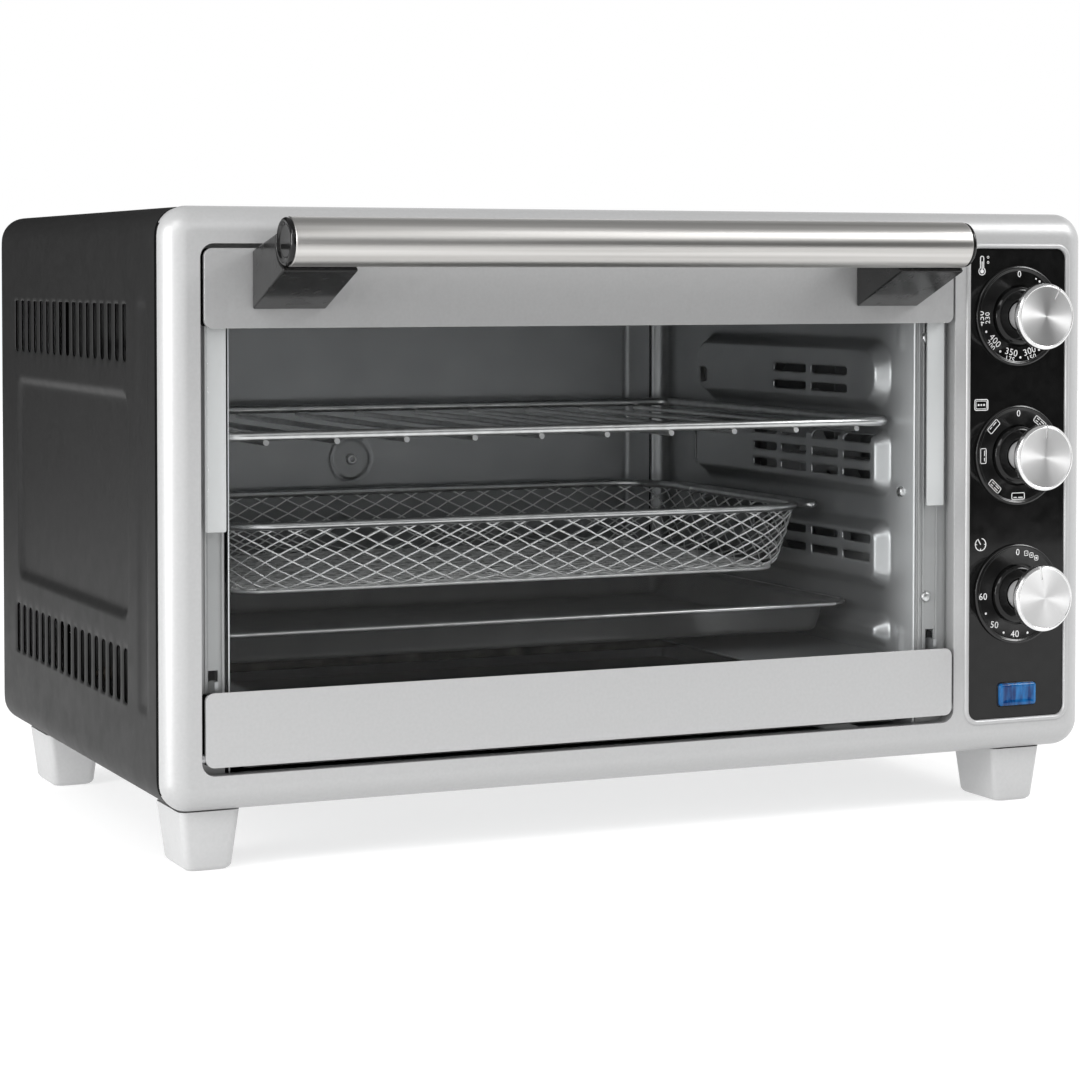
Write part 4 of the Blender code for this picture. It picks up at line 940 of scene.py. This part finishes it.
def side_wall(node, face, inward, slots):
    """A cavity wall pressed into pads and dimples, bent at its back corner, with slots in the right one."""
    _, (y0, y1), (z0, z1) = span(node)
    ramp = [1.2 * k for k in range(12)]
    marks_y = about(PADS_Y[:1], *ramp) + about(PADS_Y[1:], *[-d for d in ramp])
    marks_y += [y1 - CORNER_R * (1 - k / 8) for k in range(9)]
    marks_z = [z for low, high in PADS_Z for d in ramp[:11] if d < (high - low) / 2 for z in (low + d, high - d)]
    for y_low, y_high, z_low, z_high in slots:
        marks_y += about((y_low, y_high), -1.1, 0.0, 1.1)
        marks_z += about((z_low, z_high), -1.05, 0.0) + [middle((z_low, z_high)), z_high + 1.05]
    for y, z in DIMPLES:
        marks_y += about([y], -4, -2, 0, 2, 4)
        marks_z += about([z], -8, -4, 0, 4, 8)

    def in_slot(y, z, slack=0.0):
        return any(a - slack < y < b + slack and c - slack < z < d + slack for a, b, c, d in slots)

    def at(z, y):
        raised = 7.0 * max(field(y, z, PADS_Y, pad, r, 6.2) for pad, r in zip(PADS_Z, (17.0, 10.0, 10.0, 7.0)))
        for dy, dz in DIMPLES:
            raised += 1.6 * field(y, z, (dy - 4.0, dy + 4.0), (dz - 8.0, dz + 8.0), 4.0, 3.6)
        bend = max(y - y1 + CORNER_R, 0.0)
        raised += CORNER_R - math.sqrt(max(CORNER_R ** 2 - bend ** 2, 0.0))
        if in_slot(y, z, 0.05):
            raised -= 0.45
            for a, b, c, d in slots:
                if min(abs(z - c), abs(z - d)) < 0.05 and min(abs(y - a), abs(y - b)) < 0.05:
                    z = middle((c, d)) + (z - middle((c, d))) * 0.6
                    break
        return (face + inward * raised, y, z)

    obj, gauge = pressed(node + "_pressing", grid_lines(z0, z1, 5.0, marks_z), grid_lines(y0, y1, 7.0, marks_y), at,
                         lambda p: (inward, 0.0, 0.0), lambda z, y: in_slot(y, z), GAUGE)
    # The wall's outer face is near-black: painted shade in the space behind it.
    gauge.material_offset = 1
    dress(obj, [WALL, SHADE_BACKING], "galvanised_steel", node, turn=50)


def back_wall():
    """The wall behind, with a round bead about its stud and two upright ones. Its margins hide behind the sides."""
    x, (_, y), z = span("cavity_back_wall")
    y -= GAUGE
    centre = (-44.5, 128.5)
    radii = [s * r for r in (0.0, 2.4, 9.2, 10.2, 11.0, 11.8, 12.8) for s in (-1, 1)] + [1.6 * k for k in range(-8, 9)]
    margin = CORNER_R + 0.6
    columns = about(centre[:1], *radii) + [x[0] + margin, x[1] - margin] + about(BANDS, -3, -2, -1, 0, 1, 2, 3)

    def at(z, x):
        push = 0.9 * math.exp(-((math.dist((x, z), centre) - 11.0) / 0.75) ** 2)
        return (x, y + push + sum(0.8 * math.exp(-((x - band) / 1.5) ** 2) for band in BANDS), z)

    obj, gauge = pressed("back_wall_pressing", grid_lines(*z, 12.0, about(centre[1:], *radii)),
                         grid_lines(*x, 12.0, columns), at, lambda p: (0.0, -1.0, 0.0), lambda z, x: False, GAUGE)
    # Painted shade: the back face, the cut edges and the margins behind the side walls are near-black, for the shade
    # behind the side walls and the casing vents.
    gauge.material_offset = gauge.material_offset_rim = 1
    dress(obj, [ZINC_SHADED, SHADOW_GAP], "galvanised_steel", "cavity_back_wall", turn=50,
          paint=lambda at, normal: min(at[0] - x[0], x[1] - at[0]) < margin)
    profile = [(y - 0.1, 3.0), (y - 2.4, 2.7), (y - 2.8, 2.2), (y - 2.8, 1.3), (y - 1.0, 1.2), (y - 0.1, 1.2)]
    add("back_wall_stud", Shape().lathe("y", centre, soften(profile, 0.3, 3), 32, True), CHROME, "galvanised_steel",
        turn=40)


def cavity():
    left, right = span("cavity_back_wall")[0]
    slots = [(*column, z - SLOT_HALF, z + SLOT_HALF)
             for rows, columns in ((SLOT_ROWS, SLOT_COLUMNS), (TOP_SLOT_ROWS, TOP_SLOTS))
             for z in rows for column in columns]
    side_wall("cavity_left_wall", left + GAUGE, 1, [])
    side_wall("cavity_right_wall", right - GAUGE, -1, [*slots, *WALL_HOLES])
    back_wall()
    front = span("cavity_front_frame")[1][0]
    (sx0, sx1), _, (_, top) = span("glass_strip_left")
    tx0, tx1 = span("glass_strip_right")[0]
    ribs = Shape()
    for x in (sx0 + 1.2, sx1 - 0.6, tx0 + 0.8, tx1 - 1.2, right + 0.9):
        ribs.box((x - 0.45, x + 0.45), (front - 0.8, front + 0.1), (24.0, top - 6.0))
    add("frame_ribs", ribs, FLANGE, "galvanised_steel", edge=0.25)
    for node in ("heater_upper_front", "heater_upper_rear", "heater_lower_front", "heater_lower_rear"):
        (x0, x1), y, z = span(node)
        radius, pin = (z[1] - z[0]) / 2, 1.6
        profile = [(x0, pin), (x0 + 4, pin), (x0 + 4, radius), (x1 - 4, radius), (x1 - 4, pin), (x1, pin)]
        add(node + "_rod", Shape().lathe("x", (middle(y), middle(z)), soften(profile, 0.4, 2), 32), SHEATH,
            "heater_sheath", node, turn=40)


def screws():
    """Pan-head screws with a cross recess, on the frame, the walls and the back."""
    left, right = span("cavity_back_wall")[0]
    frame_y = span("cavity_front_frame")[1][0]
    (x0, x1), (_, back), (z0, z1) = span("rear_cover")
    floor = span("cavity_floor")[2][1]
    places = [("y", -1, 2.7, frame_y, (144.3, z)) for z in (196.0, 74.4)]
    places += [("z", 1, 2.7, floor, at) for at in ((127.7, 114.0), (73.0, 62.0), (129.7, 64.0))]
    places += [("x", side, 2.7, x, (22.0, 123.0)) for side, x in ((-1, right - GAUGE), (1, left + GAUGE))]
    places += [("y", 1, 3.2, back, (x, z)) for x in about([x0], 15.0, 150.0) + about([x1], -150.0, -15.0)
               for z in (z0 + 5.2, z1 - 5.2)]
    places += [("y", 1, 3.2, back, (x, middle((z0, z1)))) for x in (x0 + 5.0, x1 - 5.0)]
    heads, crosses = Shape(), Shape()
    for axis, side, radius, base, centre in places:
        tall = side * 0.75 * radius
        profile = [(base - side * 0.4, radius), (base + 0.35 * tall, radius), (base + 0.8 * tall, 0.8 * radius),
                   (base + tall, 0.35 * radius), (base + tall, 0.02)]
        heads.lathe(axis, centre, soften(profile, 0.4, 3), 24)
        long, thin = 0.6 * radius, 0.17 * radius
        for a, b in ((long, thin), (thin, long)):
            crosses.prism(axis, turned(oblong((-a, a), (-b, b)), centre, 0.0),
                          *sorted((base + 0.45 * tall, base + tall + side)))
    obj = mesh_object("screw_heads", heads)
    cut(obj, crosses)
    dress(obj, CHROME, "chrome")


# ---------------------------------------------------------------- rack, basket, pan

def rack():
    """A frame of thick wire with ten thinner ones welded under it."""
    x, y, z = span("wire_rack")
    rail_r, wire_r, pitch = 2.1, 1.35, 32.4
    frame_x, frame_y, level = (x[0] + 1.9, x[1] - 1.9), (y[0] + 2.2, y[1] - 2.2), z[1] - rail_r
    shape = Shape().wire("z", rounded(frame_x, frame_y, 9.0), level, rail_r, True, 16)
    low = level - rail_r - wire_r + 0.5
    front, back = frame_y[0] - 1.9, frame_y[1] + 1.9
    path = [(front - 0.2, low + 0.1), (front + 0.3, low), (front + 3.0, low)]
    path += [(front + (back - front) * n / 8, low) for n in range(1, 8)] + [(back - 0.3, low), (back + 0.2, low + 0.1)]
    for k in range(10):
        shape.wire("x", path, middle(frame_x) + (k - 4.5) * pitch, wire_r, False, 12)
    add("rack_wires", shape, CHROME, "chrome", "wire_rack", turn=50)


def basket():
    """Crimped wire woven in diamonds, curving from the rim down the sides and across the floor."""
    (x0, x1), (y0, y1), (z0, _) = span("basket_mesh")
    ends, _, rim_z = span("basket_rim")
    rim_z = middle(rim_z)
    corner, tall_cell, wire_r, crimp = 28.0, 3.5, 0.4, 0.36
    left, right, front, back = x0 - 2.2, x1 + 2.2, y0 - 2.2, y1 + 2.2
    shape = Shape().wire("z", rounded((left, right), (front, back), corner, 14), rim_z, 1.9, True, 14)
    for side, inner, outer in ((-1, left, ends[0] + 1.7), (1, right, ends[1] - 1.7)):
        loop = [(inner - side * 0.6, front + 46.0), (inner + side * 3.0, front + 26.0),
                (outer - side * 6.0, front + 10.0), (outer - side * 1.5, front + 13.0), (outer, front + 20.0),
                (outer, back - 30.0), (outer - side * 1.5, back - 23.0), (outer - side * 6.0, back - 20.0),
                (inner + side * 3.0, back - 34.0), (inner - side * 0.6, back - 54.0)]
        shape.wire("z", soften(loop, 5.0), rim_z, 1.6, False, 12)
    add("basket_frame", shape, CHROME, "chrome", "basket_rim", turn=50)

    straights = (back - front - 2 * corner, right - left - 2 * corner) * 2
    total = sum(straights) + 2 * math.pi * corner
    count = round(total / 13.8)
    half = total / (2 * count)
    rim_at = rounded_path([(right - corner, back - corner), (left + corner, back - corner),
                           (left + corner, front + corner), (right - corner, front + corner)], corner, straights, 0.0)
    depth = rim_z - z0 - 0.9
    section = soften([(0.0, 0.0), (8.0, depth - 4.0), (13.0, depth), (24.0, depth)], [3.0, 8.0], 6)
    lengths = [0.0]
    for a, b in zip(section, section[1:]):
        lengths.append(lengths[-1] + math.dist(a, b))

    def wall_at(s, down, lift):
        """The point at a length along the rim and a length down the side, lifted off it."""
        k = max(i for i, d in enumerate(lengths[:-1]) if d <= down + 1e-9)
        (inset, drop), (far_inset, far_drop) = section[k:k + 2]
        share = (down - lengths[k]) / (lengths[k + 1] - lengths[k])
        slope = Vector((far_inset - inset, far_drop - drop)).normalized()
        away = inset + (far_inset - inset) * share - lift * slope.y
        flat, out = rim_at(s % total)
        drop += (far_drop - drop) * share
        return (flat[0] - out[0] * away, flat[1] - out[1] * away, rim_z - drop + lift * slope.x)

    weave = Shape()
    steps = int((lengths[-1] - 3.0) / tall_cell)
    inset = 13.0
    floor_x, floor_y = (left + inset, right - inset), (front + inset, back - inset)
    base, radius = rim_z - depth, corner - inset
    cells = int((floor_y[1] - floor_y[0]) / tall_cell)
    first = int(floor_x[0] / (2 * half)) - cells // 2 - 2
    last = int(floor_x[1] / (2 * half)) + cells // 2 + 3
    for way in (1, -1):
        for k in range(count):
            path = []
            for t in [n / 2 for n in range(2 * steps + 1)]:
                lift = crimp * way * math.cos(math.pi * t) * (-1) ** k
                path.append(wall_at(half * (2 * k + way * t), min(tall_cell * t, lengths[-1] - 0.01), lift))
            weave.tube(path, wire_r, False, 6)
        for k in range(first, last):
            path = []
            for t in [n / 2 for n in range(2 * cells + 1)]:
                x, y = half * (2 * k + way * (t - cells / 2)), floor_y[0] + tall_cell * t
                if field(x, y, floor_x, floor_y, radius, 0.01) > 0.5:
                    path.append((x, y, base + 0.9 * crimp * way * math.cos(math.pi * t) * (-1) ** k))
            if len(path) > 3:
                weave.tube(path, wire_r, False, 5)
    weave.wire("z", rounded(floor_x, floor_y, radius + 1.0, 10, -1.0), base - 0.1, 0.8, True, 8)
    add("basket_weave", weave, WEAVE_LIT, "chrome", "basket_mesh", turn=60)


def pan():
    x, y, (low, high) = span("baking_pan")
    flange, wall = 10.0, 15.0
    outer = [(wall + 6.0, low), (wall, low), (flange, high - 1.0), (0.9, high - 0.8), (0.3, high - 0.4)]
    inner = [(0.3, high), (0.9, high), (flange + 0.6, high - 0.2), (wall + 0.6, low + 0.6), (wall + 7.0, low + 0.6)]
    section = soften(outer, [4.0, 2.0, 0.3], 5) + soften(inner, [0.3, 2.0, 4.0], 5)
    shape = Shape().stack("z", [(z, rounded(x, y, max(20.0 - inset, 3.0), 8, inset)) for inset, z in section])
    shape.wire("z", rounded(x, y, 19.0, 8, 0.9), high - 0.55, 0.9, True, 12)

    # Painted highlight: faces along the rolled rim take the bright metal.
    def paint(centre, normal):
        sides = (centre[0] - x[0], x[1] - centre[0], centre[1] - y[0], y[1] - centre[1])
        return min(sides) < 1.9 and centre[2] > high - 1.7

    add("roasting_pan", shape, [PAN, PAN_RIM_HIGHLIGHT], "dark_pan", "baking_pan", turn=40, paint=paint)


def carried_over():
    """Procedural finishes for the CAD nodes that keep their own shape."""
    for made, nodes in ((FLANGE, ("cavity_front_frame",)), (ZINC_SHADED, ("cavity_floor",)),
                        (ZINC, ("base_plate", "cavity_top", "control_carrier", "fan_shroud", "fan_motor", "fan_wheel",
                                "hinge_arm_left", "hinge_arm_right", "timer_movement", "crumb_tray")),
                        (BLACK, ("indicator_lamp", "mode_switch")), (CREAM, ("thermostat", "terminal_block")),
                        (BRASS, [name + "_spindle" for name, _ in KNOBS])):
        for node in nodes:
            materials = frame["nodes"][node].data.materials
            materials.clear()
            materials.append(made)


# ---------------------------------------------------------------- stage

def stage_sheet(name, corners, made):
    """A flat sheet of the studio."""
    mesh = bpy.data.meshes.new(name)
    mesh.from_pydata(corners, [], [(0, 1, 2, 3)])
    mesh.materials.append(made)
    sheet = bpy.data.objects.new(name, mesh)
    bpy.context.scene.collection.objects.link(sheet)
    return sheet


def stage():
    scene = bpy.context.scene
    made = look("pale_floor", grey(0.45), 0.6, Specular_IOR_Level=0.1, Emission_Strength=0.62, Emission_Color=WHITE)
    tint(made, noise(made, 3.0, 4.0), grey(0.44), grey(0.46))
    stage_sheet("floor", [(*p, cad_bounds[0].z) for p in oblong((-4.0, 4.0), (-4.0, 4.0))], made)
    for name, centre, size, strength in CARDS:
        made = look(name + "_face", grey(0.01), 0.9, 0.0, Specular_IOR_Level=0.0, Emission_Strength=strength,
                    Emission_Color=WHITE)
        across, up = [Vector([size[i] / 2 if i == axis else 0.0 for i in range(3)]) for axis in range(3) if size[axis]]
        card = stage_sheet(name, [Vector(centre) + a * across + b * up for a, b in oblong((-1, 1), (-1, 1))], made)
        for ray in ("camera", "diffuse", "transmission", "shadow"):
            setattr(card, "visible_" + ray, False)

    world = bpy.data.worlds.new("studio")
    scene.world = world
    world.use_nodes = True
    set_sockets(world.node_tree.nodes["Background"], {"Color": WHITE, "Strength": 1.0})
    for name, at, wide, tall, power in LAMPS:
        data = set_all(bpy.data.lights.new(name, "AREA"), shape="RECTANGLE", size=wide, size_y=tall, energy=power)
        aim = (Vector((0.0, 0.0, 0.13)) - Vector(at)).to_track_quat("-Z", "Y").to_euler()
        scene.collection.objects.link(set_all(bpy.data.objects.new(name, data), location=at, rotation_euler=aim))

    data = set_all(bpy.data.cameras.new("camera"), sensor_width=36.0, lens=95.79, shift_y=-0.1515)
    camera = set_all(bpy.data.objects.new("camera", data), location=(-0.56857, -1.26466, 0.25079),
                     rotation_euler=(math.radians(88.0), 0.0, math.radians(-24.033)))
    scene.collection.objects.link(camera)
    scene.camera = camera
    scene.view_settings.view_transform = "Standard"


for build in (casing, rear, feet, bezel, control_panel, door, handle, cavity, screws, rack, basket, pan,
              carried_over, stage):
    build()
